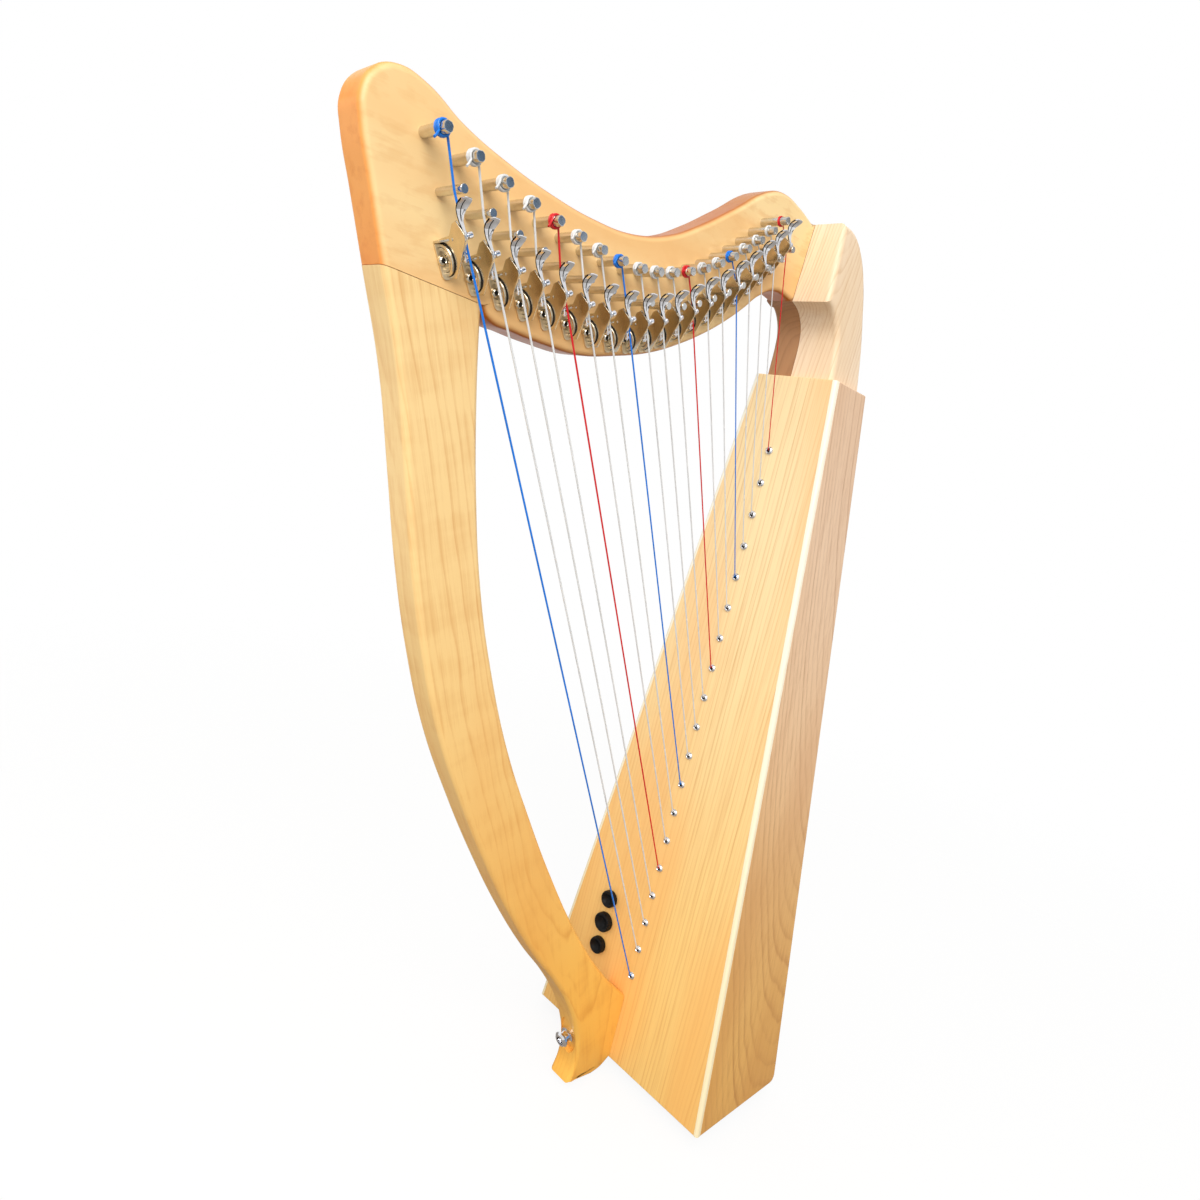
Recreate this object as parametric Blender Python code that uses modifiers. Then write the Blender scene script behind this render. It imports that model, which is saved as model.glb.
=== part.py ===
"""Nineteen-string lap harp with sharping levers, in metres, +Z up.

Frame: the sound box stands on z = 0 with the middle of its base at the origin. The
soundboard faces -X, the column and the neck lie in front of it, and the strings run
in the XZ plane. The levers, tuning pins and bridge pins are on the -Y side.
Lengths called "depth" are measured from the front face of the soundboard, towards +X.
"""
import math

import bmesh
import bpy
from mathutils import Matrix, Vector

# Neck and column: one plank thickness, just beyond the string plane
GAP = 0.0003                                # between pieces that touch
PLANK_NEAR_Y = 0.0012
PLANK_T = 0.0222
PLANK_FAR_Y = PLANK_NEAR_Y + PLANK_T
PLANK_ROUND = 0.002

# Sound box
BOX_HEIGHT = 0.587
DRAWN_HEIGHT = 0.587                        # the height that the outlines below are drawn for
BOX_DEPTH_BOTTOM = 0.116
BOX_DEPTH_TOP = 0.048
NEAR_BOTTOM, NEAR_TOP = 0.0965, 0.0405      # half widths on the -Y side
BOARD_T = 0.004
SIDE_T = 0.0065
FAR_BOTTOM = 0.0928                         # half widths on the +Y side, where the far
FAR_TOP = PLANK_FAR_Y + GAP + SIDE_T        # panel's top lies against the shoulder core
BACK_T = 0.004
BASE_T = 0.006
STRIP_W = 0.0034
STRIP_D = 0.0043
STRIP_ROUND = 0.0026

# Strings
STRING_COUNT = 19
EYELET_FIRST_Z = 0.0800
EYELET_STEP = 0.0250
EYELET_R = 0.0030
EYELET_RISE = 0.0010
STRING_HOLE_R = 0.0013
STRING_R_BASS = 0.00062
STRING_R_TREBLE = 0.00036
STRING_STAND = 0.0170                       # height of a string over the neck's face
WIND_TURNS = 2.0
WIND_STAND = 0.0135                         # where the turns start, over the neck's face
WIND_POINTS = 12
RIB_W = 0.022
RIB_D = 0.006

# Pins
TUNING_R = 0.0026
TUNING_OUT = 0.0203
TUNING_IN = 0.0165
BRIDGE_R = 0.0020
BRIDGE_OUT = 0.0208

# Levers: frame of a string, s along it and away from the bridge pin, o outward
LEVER_FRET_SHARE = 0.048                    # where the fork meets the string
LEVER_FORK = 0.0090                         # fork ahead of the pivot
LEVER_BACK = 0.0013                         # levers sit this far nearer the bridge pins
LEVER_SHIFT, SHIFT_AT, SHIFT_WIDE = 0.0030, 7.5, 2.6    # but the middle ones further off
LEVER_RISE = 0.0032                         # pivot over the string
LEVER_SPOON = 0.0154
ARM_NEAR, ARM_FAR = -0.0019, -0.0010
ROD_R, ROD_APART = 0.0007, 0.0027
FLANGE_NEAR, FLANGE_FAR = -0.0032, -0.0022
LEAF_NEAR = -0.0070                         # flat leaf on the neck, from here to the flange
LEAF_T = 0.0011
LEAF_START, LEAF_END = 0.0017, 0.0180       # from the pivot, along the string
ARCH_NEAR = -0.0046                         # half ring that stands over the screw
ARCH_AT, ARCH_OUTER, ARCH_INNER = 0.0092, 0.0074, 0.0040
SCREW_E, SCREW_R, SCREW_H = -0.0051, 0.0017, 0.0026
LEVER_INSET = 0.0001                        # plates stand this far inside the leaf's edges
SINK = 0.0004                               # and what is one with the neck goes in this deep
RIVET_R, RIVET_OUT = 0.0017, 0.0006

# Controls and jack
KNOB_Y = 0.0400
KNOB_Z = (0.1297, 0.1076, 0.0854)
KNOB_R = (0.0073, 0.0084, 0.0073)
KNOB_H = 0.0065
SHAFT_R = 0.0030
CASE_D, CASE_HALF_W, CASE_OVER = 0.014, 0.013, 0.012
PICKUP_T, PICKUP_W, PICKUP_Z = 0.0016, 0.0060, (0.220, 0.380)
JACK_Z = 0.0350
JACK_R = 0.0066
JACK_BORE_R, JACK_BORE = 0.0052, 0.016

# Inside the box
BRACE_Z, BRACE_D, BRACE_H = (0.200, 0.400), (0.012, 0.010), 0.008
TAIL_H, TAIL_D, TAIL_HALF_W = 0.045, 0.022, 0.030
SOUND_HOLES = ((0.130, 0.034), (0.280, 0.028), (0.410, 0.022))

# Outlines of neck, column and shoulder, in mm: depth and height
SEAM_H = 550.0
SEAM_TOP = (-15.0, 691.0)
SEAM_LOW = (-19.0, 636.0)
ARCH_R, ARCH_C = 26.0, (-22.0, 610.0)
TENON = 40.0
CHEEK_TOP_Y = -0.030

FRONT_X = -BOX_DEPTH_BOTTOM / 2


for item in list(bpy.data.objects):
    bpy.data.objects.remove(item, do_unlink=True)

parts = bpy.data.collections.new("lap_harp")
tools = bpy.data.collections.new("cutters")
bpy.context.scene.collection.children.link(parts)
bpy.context.scene.collection.children.link(tools)


def material(name, colour, rough, metal=0.0):
    m = bpy.data.materials.get(name) or bpy.data.materials.new(name)
    m.use_nodes = True
    b = m.node_tree.nodes["Principled BSDF"]
    b.inputs["Base Color"].default_value = (*colour, 1)
    b.inputs["Roughness"].default_value = rough
    b.inputs["Metallic"].default_value = metal
    return m


MAPLE = ((0.82, 0.58, 0.31), 0.42)
MAPLE_DARK = ((0.72, 0.45, 0.20), 0.42)
SPRUCE = ((0.88, 0.66, 0.38), 0.45)
SIDE_WOOD = ((0.66, 0.42, 0.24), 0.45)
CREAM = ((0.90, 0.80, 0.62), 0.4)
NICKEL = ((0.78, 0.76, 0.72), 0.18, 1.0)
BLACK = ((0.02, 0.02, 0.02), 0.5)
NYLON = ((0.75, 0.78, 0.85), 0.3)


def add(name, mesh, look, home=parts):
    ob = bpy.data.objects.new(name, mesh)
    home.objects.link(ob)
    if home is parts:
        if not mesh.materials:
            mesh.materials.append(material(name, *look))
    else:
        ob.hide_render = True
        ob.display_type = "WIRE"
    return ob


def recentre(ob):
    """Moves an object's origin to the middle of its mesh."""
    co = [v.co for v in ob.data.vertices]
    mid = Vector([(min(c[k] for c in co) + max(c[k] for c in co)) / 2 for k in range(3)])
    ob.data.transform(Matrix.Translation(-mid))
    ob.location = mid


def hexa(name, corner, look, home=parts, centre=True):
    """A cube primitive whose corners go where corner(i, j, k) puts them."""
    bm = bmesh.new()
    bmesh.ops.create_cube(bm, size=1.0)
    for v in bm.verts:
        v.co = Vector(corner(v.co.x > 0, v.co.y > 0, v.co.z > 0))
    mesh = bpy.data.meshes.new(name)
    bm.to_mesh(mesh)
    bm.free()
    ob = add(name, mesh, look, home)
    if centre:
        recentre(ob)
    return ob


def mesh_of(ob):
    bpy.context.view_layer.update()
    return bpy.data.meshes.new_from_object(ob.evaluated_get(bpy.context.evaluated_depsgraph_get()))


def weld(mesh, dist=1e-5):
    bm = bmesh.new()
    bm.from_mesh(mesh)
    bmesh.ops.remove_doubles(bm, verts=bm.verts, dist=dist)
    bmesh.ops.recalc_face_normals(bm, faces=bm.faces)
    bm.to_mesh(mesh)
    bm.free()


def plate(name, outline, y0, y1, look, round_edge=0.0, home=parts):
    """A flat outline in the XZ plane, as thick as y0 to y1."""
    data = bpy.data.curves.new(name, "CURVE")
    data.dimensions = "2D"
    data.fill_mode = "BOTH"
    data.extrude = (y1 - y0) / 2 - round_edge
    data.bevel_depth = round_edge
    data.bevel_resolution = 0
    data.offset = -round_edge
    sp = data.splines.new("POLY")
    sp.points.add(len(outline) - 1)
    for p, (x, z) in zip(sp.points, outline):
        p.co = (x, z, 0, 1)
    sp.use_cyclic_u = True
    cu = bpy.data.objects.new(name + "_outline", data)
    tools.objects.link(cu)
    cu.rotation_euler = (math.pi / 2, 0, 0)
    cu.location = (0, (y0 + y1) / 2, 0)
    mesh = mesh_of(cu)
    weld(mesh)
    ob = add(name, mesh, look, home)
    ob.matrix_world = cu.matrix_world
    bpy.data.objects.remove(cu)
    return ob


def settle(ob):
    """Applies an object's modifiers."""
    mesh = mesh_of(ob)
    ob.modifiers.clear()
    ob.data = mesh
    return ob


def boolean(ob, tool, kind):
    m = ob.modifiers.new(kind.lower(), "BOOLEAN")
    m.operation = kind
    m.solver = "EXACT"
    m.object = tool
    settle(ob)
    bpy.data.objects.remove(tool)


def turned(name, profile, steps, look, home=parts):
    """A profile of (radius, height), top to bottom, turned about Z."""
    mesh = bpy.data.meshes.new(name)
    verts = [(r, 0, z) for r, z in profile]
    mesh.from_pydata(verts, [(i, i + 1) for i in range(len(verts) - 1)], [])
    ob = add(name, mesh, look, home)
    spin(ob, steps)
    return ob


def spin(ob, steps):
    s = ob.modifiers.new("turn", "SCREW")
    s.axis = "Z"
    s.steps = s.render_steps = steps
    s.use_merge_vertices = True
    s.merge_threshold = 1e-5
    s.use_smooth_shade = True


def smooth(points, per=3):
    """A curve through the points of an outline that is open at both ends."""
    out = []
    n = len(points)
    for i in range(n - 1):
        p0 = points[max(i - 1, 0)]
        p1, p2 = points[i], points[i + 1]
        p3 = points[min(i + 2, n - 1)]
        for k in range(per):
            t = k / per
            out.append(tuple(
                0.5 * (2 * b + (c - a) * t + (2 * a - 5 * b + 4 * c - d) * t * t
                       + (3 * b - a - 3 * c + d) * t ** 3)
                for a, b, c, d in zip(p0, p1, p2, p3)))
    out.append(points[-1])
    return out


def raised(z):
    """Heights stretch with the box up to its top, and above it move up with it."""
    return z + (BOX_HEIGHT - DRAWN_HEIGHT) * min(max(z / DRAWN_HEIGHT, 0), 1)


def mm(points):
    """Outline points as (depth, height) in millimetres, to world x and z in metres."""
    return [(FRONT_X + d / 1000, raised(h / 1000)) for d, h in points]


def near_w(z):
    return NEAR_BOTTOM + (NEAR_TOP - NEAR_BOTTOM) * z / BOX_HEIGHT


def far_w(z):
    return FAR_BOTTOM + (FAR_TOP - FAR_BOTTOM) * z / BOX_HEIGHT


def back_x(z):
    return FRONT_X + BOX_DEPTH_BOTTOM + (BOX_DEPTH_TOP - BOX_DEPTH_BOTTOM) * z / BOX_HEIGHT


# Sound box
def box_plate(name, x0, x1, y0, y1, z0, z1, look):
    """A panel of the box whose faces follow functions of the height."""
    def corner(i, j, k):
        z = z1 if k else z0
        return ((x1 if i else x0)(z), (y1 if j else y0)(z), z)
    return hexa(name, corner, look)


front = lambda z: FRONT_X
behind_board = lambda z: FRONT_X + BOARD_T
behind_strip = lambda z: FRONT_X + STRIP_D + GAP
inside_back = lambda z: back_x(z) - BACK_T - GAP
near_in = lambda z: -(near_w(z) - SIDE_T - GAP)
far_in = lambda z: far_w(z) - SIDE_T - GAP

soundboard = box_plate(
    "soundboard", front, behind_board,
    lambda z: -(near_w(z) - STRIP_W - GAP), lambda z: far_w(z) - STRIP_W - GAP,
    0, BOX_HEIGHT, SPRUCE)
side_near = box_plate(
    "side_panel_near", behind_strip, back_x,
    lambda z: -near_w(z), lambda z: -(near_w(z) - SIDE_T), 0, BOX_HEIGHT, SIDE_WOOD)
side_far = box_plate(
    "side_panel_far", behind_strip, back_x,
    lambda z: far_w(z) - SIDE_T, far_w, 0, BOX_HEIGHT, SIDE_WOOD)
back_panel = box_plate(
    "back_panel", lambda z: back_x(z) - BACK_T, back_x, near_in, far_in,
    0, BOX_HEIGHT, MAPLE)
bottom_board = box_plate(
    "bottom_board", lambda z: behind_board(z) + GAP, inside_back, near_in, far_in,
    0, BASE_T, MAPLE)


def edge_strip(name, outer, inner):
    """A square strip along the board's edge, with its outer corner planed off."""
    ob = box_plate(name, front, lambda z: FRONT_X + STRIP_D, min_of(outer, inner),
                   max_of(outer, inner), 0, BOX_HEIGHT, CREAM)
    bm = bmesh.new()
    bm.from_mesh(ob.data)
    mid = ob.location
    pick = []
    for e in bm.edges:
        a, b = (v.co + mid for v in e.verts)
        if abs(a.z - b.z) > 0.1 and all(
                abs(p.x - FRONT_X) < 1e-6 and abs(p.y - outer(p.z)) < 1e-6 for p in (a, b)):
            pick.append(e)
    bmesh.ops.bevel(bm, geom=pick, offset=STRIP_ROUND, offset_type="OFFSET", segments=1,
                    profile=0.5, affect="EDGES", material=-1)
    bm.to_mesh(ob.data)
    bm.free()
    return ob


def min_of(a, b):
    return lambda z: min(a(z), b(z))


def max_of(a, b):
    return lambda z: max(a(z), b(z))


edge_strip("edge_strip_near", lambda z: -near_w(z), lambda z: -(near_w(z) - STRIP_W))
edge_strip("edge_strip_far", far_w, lambda z: far_w(z) - STRIP_W)

# Two braces across the board's back, and the block that the column is screwed to
for name, z0, deep in zip(("brace_low", "brace_high"), BRACE_Z, BRACE_D):
    box_plate(name, lambda z: FRONT_X + BOARD_T + RIB_D + 2 * GAP,
              lambda z, deep=deep: FRONT_X + BOARD_T + RIB_D + 2 * GAP + deep,
              near_in, far_in, z0, z0 + BRACE_H, SPRUCE)
box_plate("tail_block", lambda z: behind_board(z) + GAP, lambda z: behind_board(z) + TAIL_D,
          lambda z: -TAIL_HALF_W, lambda z: TAIL_HALF_W, BASE_T + GAP, TAIL_H, MAPLE)

# Sound holes in the back, larger towards the base
slope = math.atan2(BOX_DEPTH_BOTTOM - BOX_DEPTH_TOP, BOX_HEIGHT)
for z, r in SOUND_HOLES:
    bm = bmesh.new()
    bmesh.ops.create_cone(bm, cap_ends=True, segments=20, radius1=r, radius2=r, depth=0.03)
    mesh = bpy.data.meshes.new("hole")
    bm.to_mesh(mesh)
    bm.free()
    cut = add("sound_hole_cutter", mesh, None, tools)
    cut.rotation_euler = (0, math.pi / 2 - slope, 0)
    cut.location = (back_x(z) - BACK_T / 2, (far_in(z) + near_in(z)) / 2, z)
    boolean(back_panel, cut, "DIFFERENCE")


# Column, neck and shoulder
GAP_MM = GAP * 1000

column_inner = smooth([(-280.5, SEAM_H - GAP_MM), (-272, 508), (-259, 456), (-243, 405),
                       (-223, 357), (-196, 304), (-163, 252), (-125, 197), (-86, 146),
                       (-45, 100), (-12, 70), (-GAP_MM, 61)])
column_outer = smooth([(-49, -5), (-45.5, 10), (-48.5, 30), (-56.5, 50), (-70, 73),
                       (-92, 101), (-123, 134), (-157, 175), (-190, 220), (-222, 268),
                       (-250, 315), (-272, 363), (-290, 412), (-304, 458), (-319, 506),
                       (-337, SEAM_H - GAP_MM)])
foot = [(-GAP_MM, -1.0), (-9, -6.5), (-20, -8.5)]
column = plate("column", mm(column_inner + foot + column_outer), PLANK_NEAR_Y,
               PLANK_FAR_Y, MAPLE, PLANK_ROUND)

neck_low = smooth([(-280.5, SEAM_H), (-275, 544.5), (-256, 543), (-233, 543), (-209, 544.5),
                   (-180, 552), (-151, 562), (-126, 574.5), (-107, 586), (-90, 598),
                   (-72, 613), (-57, 627), (-40, 636), SEAM_LOW], 2)
neck_top = smooth([SEAM_TOP, (-36, 695), (-57, 696), (-73, 691), (-107, 665.5), (-133, 646),
                   (-158, 630.5), (-188, 619.5), (-220, 615.5), (-250, 615.5),
                   (-280, 618), (-309, 623), (-330, 630), (-345, 630.5), (-356, 624),
                   (-360.5, 612), (-358, 601), (-349, 579), (-337, SEAM_H)], 2)
neck = plate("neck", mm(neck_low + neck_top), PLANK_NEAR_Y, PLANK_FAR_Y, MAPLE, PLANK_ROUND)

top_mm = DRAWN_HEIGHT * 1000
front_mm = BOARD_T * 1000 + GAP_MM
arch = [(ARCH_C[0] + ARCH_R * math.cos(math.radians(a)),
         ARCH_C[1] + ARCH_R * math.sin(math.radians(a))) for a in (78, 60, 40, 20, 0)]


def depth_back(h):
    return (back_x(raised(h / 1000)) - FRONT_X) * 1000


crown = smooth([(depth_back(top_mm) + 0.3, top_mm + 2), (43, 617), (36, 641), (28, 663),
                (17, 680), (3, 690), (SEAM_TOP[0] + GAP_MM, SEAM_TOP[1] + 0.5)])
block_line = (
    [(front_mm, top_mm - TENON), (depth_back(top_mm - TENON) - BACK_T * 1000 - GAP_MM,
                                  top_mm - TENON),
     (depth_back(top_mm) - BACK_T * 1000 - GAP_MM, top_mm + GAP_MM),
     (depth_back(top_mm) + 0.3, top_mm + GAP_MM)]
    + crown + [(SEAM_LOW[0] + GAP_MM, SEAM_LOW[1])] + arch[1:]
    + [(front_mm, top_mm + 8), (front_mm, top_mm)])
core = plate("shoulder_core", mm(block_line), PLANK_NEAR_Y + GAP / 2, PLANK_FAR_Y, MAPLE_DARK)
cheek = plate("shoulder_cheek", mm(block_line), CHEEK_TOP_Y, PLANK_NEAR_Y - GAP / 2, CREAM)
world = cheek.matrix_world.copy()
for v in cheek.data.vertices:
    p = world @ v.co
    if p.y < CHEEK_TOP_Y / 2:
        p.y = -(near_w(p.z) - SIDE_T - GAP)
        v.co = world.inverted() @ p


# Strings: where each one starts and ends
def share(i):
    return i / (STRING_COUNT - 1)


def eyelet(i):
    return Vector((FRONT_X, 0, EYELET_FIRST_Z + EYELET_STEP * i))


def pin_row(points):
    """Places for all the pins, on a curve through every other one of them."""
    before = tuple(2 * a - b for a, b in zip(points[0], points[1]))
    after = tuple(2 * a - b for a, b in zip(points[-1], points[-2]))
    row = smooth([before] + points + [after], 2)[2:-2]
    return [Vector((x, PLANK_NEAR_Y, z)) for x, z in row]


TUNING_ROW = pin_row(mm([
    (-329.4, 609.3), (-293.2, 601.6), (-259.0, 597.8), (-226.8, 595.6), (-194.5, 597.3),
    (-168.0, 604.4), (-141.8, 616.0), (-118.6, 631.3), (-96.8, 649.2), (-75.5, 669.3)]))
BRIDGE_ROW = pin_row(mm([
    (-316.5, 589.1), (-282.1, 582.4), (-248.6, 579.8), (-214.5, 579.0), (-183.0, 582.4),
    (-155.8, 589.0), (-130.2, 602.0), (-105.3, 618.2), (-83.3, 636.6), (-62.6, 655.7)]))


def tuning(i):
    return TUNING_ROW[i].copy()


def bridge(i):
    return BRIDGE_ROW[i].copy()


def string_r(i):
    return STRING_R_BASS + (STRING_R_TREBLE - STRING_R_BASS) * share(i)


def string_top(i):
    """Where the string lies against its bridge pin, on the bass side."""
    b, e = bridge(i), eyelet(i)
    run = Vector((e.x - b.x, 0, e.z - b.z)).normalized()
    side = Vector((-run.z, 0, run.x))
    p = b - side * (BRIDGE_R + string_r(i) + 0.00045)
    p.y = PLANK_NEAR_Y - STRING_STAND
    return p


def string_foot(i):
    return eyelet(i) - Vector((EYELET_RISE + 0.0007, 0, 0))


def string_frame(i):
    """Origin at the bridge pin, s down the string, e towards the treble, o outward."""
    a, b = string_top(i), string_foot(i)
    s = (b - a).normalized()
    e = Vector((-s.z, 0, s.x)).normalized()
    o = s.cross(e)
    if o.y > 0:
        o = -o
    return a, s, e, o, (b - a).length


def neck_frame(i):
    """The same, but flat on the neck's face."""
    a, b = string_top(i), eyelet(i)
    s = Vector((b.x - a.x, 0, b.z - a.z)).normalized()
    e = Vector((-s.z, 0, s.x))
    a.y = PLANK_NEAR_Y
    return a, s, e, Vector((0, -1, 0))


def pivot_s(i):
    shift = LEVER_SHIFT * math.exp(-((i - SHIFT_AT) / SHIFT_WIDE) ** 2)
    return LEVER_FRET_SHARE * string_frame(i)[4] - LEVER_FORK - LEVER_BACK + shift


def pivot(i):
    a, s, e, o, _ = string_frame(i)
    return a + s * pivot_s(i) + o * LEVER_RISE


# Lever plates and bridge pins, one with the neck
def extrude(bm, face, way):
    out = bmesh.ops.extrude_face_region(bm, geom=[face])
    moved = [g for g in out["geom"] if isinstance(g, bmesh.types.BMVert)]
    bmesh.ops.translate(bm, verts=moved, vec=way)


def prism(bm, frame, outline, e0, e1):
    """Adds an outline in s and o, from e0 to e1, to a mesh."""
    a, s, e, o = frame
    verts = [bm.verts.new(a + s * p + o * q + e * e0) for p, q in outline]
    face = bm.faces.new(verts)
    extrude(bm, face, e * (e1 - e0))


def islands(name, build):
    bm = bmesh.new()
    for i in range(STRING_COUNT):
        build(bm, i)
    bmesh.ops.recalc_face_normals(bm, faces=bm.faces)
    mesh = bpy.data.meshes.new(name)
    bm.to_mesh(mesh)
    bm.free()
    return add(name, mesh, None, tools)


def leaf_of(bm, i):
    p = pivot_s(i)
    prism(bm, neck_frame(i), [(p + LEAF_START, -SINK - 0.0001), (p + LEAF_END, -SINK - 0.0001),
                              (p + LEAF_END, LEAF_T), (p + LEAF_START, LEAF_T)],
          LEAF_NEAR, FLANGE_FAR)


def flange_of(bm, i):
    """Upright plate with an ear above the pivot and a straight sloping outer edge."""
    p = pivot_s(i)
    top = PLANK_NEAR_Y - pivot(i).y
    prism(bm, neck_frame(i), [(p + 0.0002, -SINK), (p + LEAF_END - LEVER_INSET, -SINK),
                              (p + LEAF_END - LEVER_INSET, 0.0066), (p + 0.0018, top + 0.0008),
                              (p - 0.0014, top + 0.0008), (p - 0.0068, 0.0164),
                              (p - 0.0058, 0.0134), (p - 0.0010, 0.0088)],
          FLANGE_NEAR, FLANGE_FAR - LEVER_INSET)


def arch_of(bm, i):
    """Half ring that stands on the leaf, over the screw and against the flange."""
    p = pivot_s(i) + ARCH_AT
    turns = [math.radians(180 * k / 6) for k in range(7)]
    pts = [(p + r * math.cos(t), LEAF_T + r * math.sin(t))
           for r, row in ((ARCH_OUTER, turns), (ARCH_INNER, turns[::-1])) for t in row]
    outer, inner = (p - ARCH_OUTER, LEAF_T / 2), (p - ARCH_INNER, LEAF_T / 2)
    pts[7:7] = [outer, inner]
    pts += [(p + ARCH_INNER, LEAF_T / 2), (p + ARCH_OUTER, LEAF_T / 2)]
    prism(bm, neck_frame(i), pts, ARCH_NEAR, (FLANGE_NEAR + FLANGE_FAR) / 2)


def screw_of(bm, i):
    p = pivot_s(i) + ARCH_AT
    a, s, e, o = neck_frame(i)
    turns = [math.radians(60 * k) for k in range(6)]
    face = bm.faces.new([bm.verts.new(
        a + s * (p + SCREW_R * math.sin(t)) + e * (SCREW_E + SCREW_R * math.cos(t)) - o * SINK)
        for t in turns])
    extrude(bm, face, o * (SCREW_H + SINK))


def peg_of(bm, i):
    b = bridge(i)
    long = BRIDGE_OUT + 0.0006
    m = Matrix.Translation(b + Vector((0, 0.0006 - long / 2, 0))) @ Matrix.Rotation(
        math.pi / 2, 4, "X")
    bmesh.ops.create_cone(bm, cap_ends=True, segments=6, radius1=BRIDGE_R,
                          radius2=BRIDGE_R, depth=long, matrix=m)


def bore_of(bm, i):
    long = TUNING_IN + 0.0005 + 0.001
    m = Matrix.Translation(tuning(i) + Vector((0, -0.001 + long / 2, 0))) @ Matrix.Rotation(
        math.pi / 2, 4, "X")
    bmesh.ops.create_cone(bm, cap_ends=True, segments=8, radius1=TUNING_R + 0.0003,
                          radius2=TUNING_R + 0.0003, depth=long, matrix=m)


settle(neck)
boolean(neck, islands("bores", bore_of), "DIFFERENCE")
boolean(neck, islands("bridge_pegs", peg_of), "UNION")
boolean(neck, islands("lever_leaves", leaf_of), "UNION")
boolean(neck, islands("lever_flanges", flange_of), "UNION")
boolean(neck, islands("lever_arches", arch_of), "UNION")
boolean(neck, islands("lever_screws", screw_of), "UNION")


# Tuning pins
pin_profile = [(0, TUNING_OUT), (TUNING_R - 0.0005, TUNING_OUT), (TUNING_R, TUNING_OUT - 0.0007),
               (TUNING_R, 0.0001 - TUNING_IN), (TUNING_R - 0.0005, -TUNING_IN), (0, -TUNING_IN)]
pin_mesh = None
for i in range(STRING_COUNT):
    name = "tuning_pin_%02d" % (i + 1)
    if pin_mesh is None:
        pin = turned(name, pin_profile, 8, NICKEL)
        pin_mesh = pin.data
    else:
        pin = add(name, pin_mesh, NICKEL)
        spin(pin, 8)
    pin.rotation_euler = (math.pi / 2, 0, 0)
    pin.location = tuning(i)


# Levers: spoon handle, pivot boss and two-pronged fork, each in one piece
def loft(bm, rings):
    """Joins rings of four points, and closes both ends."""
    rows = [[bm.verts.new(p) for p in ring] for ring in rings]
    for a, b in zip(rows, rows[1:]):
        for k in range(4):
            bm.faces.new((a[k], a[(k + 1) % 4], b[(k + 1) % 4], b[k]))
    bm.faces.new(rows[0][::-1])
    bm.faces.new(rows[-1])


# stations in mm from the pivot: along s, outward and sideways, for the near edge and
# for the far one, and the thickness there
K = LEVER_SPOON / 0.0154
fork_o = -(LEVER_RISE + STRING_R_BASS + 0.0003 + ROD_R) * 1000
fork_s = LEVER_FORK * 1000
near_mm, far_mm = ARM_NEAR * 1000, ARM_FAR * 1000
stations = [
    ((fork_s + 2.2, fork_o, near_mm), (fork_s + 2.2, fork_o, far_mm), 1.9),
    ((fork_s - 2.2, fork_o + 0.2, near_mm), (fork_s - 2.2, fork_o + 0.2, far_mm), 2.1),
    ((fork_s * 0.35, fork_o * 0.45, near_mm), (fork_s * 0.35, fork_o * 0.45, far_mm), 2.0),
    ((0, 0, near_mm), (0, 0, far_mm), 2.2),
    ((-3.4 * K, -0.7, near_mm - 0.2), (-3.2 * K, 0.0, far_mm), 1.3),
    ((-6.0 * K, -1.3, near_mm - 0.3), (-6.2 * K, 0.1, far_mm + 0.1), 1.1),
    ((-8.8 * K, -1.7, near_mm - 0.3), (-8.6 * K, 0.7, far_mm + 0.8), 1.1),
    ((-11.6 * K, -1.5, near_mm - 0.2), (-10.8 * K, 2.0, far_mm + 2.0), 1.1),
    ((-13.8 * K, 0.6, near_mm - 0.1), (-12.7 * K, 4.0, far_mm + 3.1), 1.1),
    ((-15.4 * K, 3.4, near_mm + 0.3), (-14.0 * K, 6.0, far_mm + 3.6), 1.0)]
rings = []
for k, (near, far, t) in enumerate(stations):
    before, after = stations[max(k - 1, 0)], stations[min(k + 1, len(stations) - 1)]
    run = sum((Vector(b) - Vector(a) for a, b in zip(before[:2], after[:2])), Vector())
    up = run.cross(Vector(far) - Vector(near)).normalized() * t / 2
    rings.append([Vector((p.x, p.z, p.y)) / 1000 for p in (
        Vector(near) + up, Vector(far) + up, Vector(far) - up, Vector(near) - up)])
bm = bmesh.new()
loft(bm, rings)
bmesh.ops.triangulate(bm, faces=bm.faces)
bmesh.ops.recalc_face_normals(bm, faces=bm.faces)
arm_mesh = bpy.data.meshes.new("lever_arm")
bm.to_mesh(arm_mesh)
bm.free()
arm = add("lever_01", arm_mesh, NICKEL)


def rod(s_, o_, r, e0, e1, sides):
    bm = bmesh.new()
    m = Matrix.Translation((s_, (e0 + e1) / 2, o_)) @ Matrix.Rotation(math.pi / 2, 4, "X")
    bmesh.ops.create_cone(bm, cap_ends=True, segments=sides, radius1=r, radius2=r,
                          depth=e1 - e0, matrix=m)
    mesh = bpy.data.meshes.new("rod")
    bm.to_mesh(mesh)
    bm.free()
    return add("rod", mesh, None, tools)


boolean(arm, rod(0, 0, RIVET_R, ARM_NEAR + 0.0002, RIVET_OUT, 8), "UNION")
for ds in (-ROD_APART / 2, ROD_APART / 2):
    boolean(arm, rod(LEVER_FORK + ds, fork_o / 1000, ROD_R, ARM_FAR - 0.0004, 0.00045, 6), "UNION")
arm_mesh = arm.data
for i in range(STRING_COUNT):
    ob = arm if i == 0 else add("lever_%02d" % (i + 1), arm_mesh, NICKEL)
    a, s, e, o, _ = string_frame(i)
    m = Matrix((s, e, o)).transposed().to_4x4()
    m.translation = pivot(i)
    ob.matrix_world = m


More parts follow.
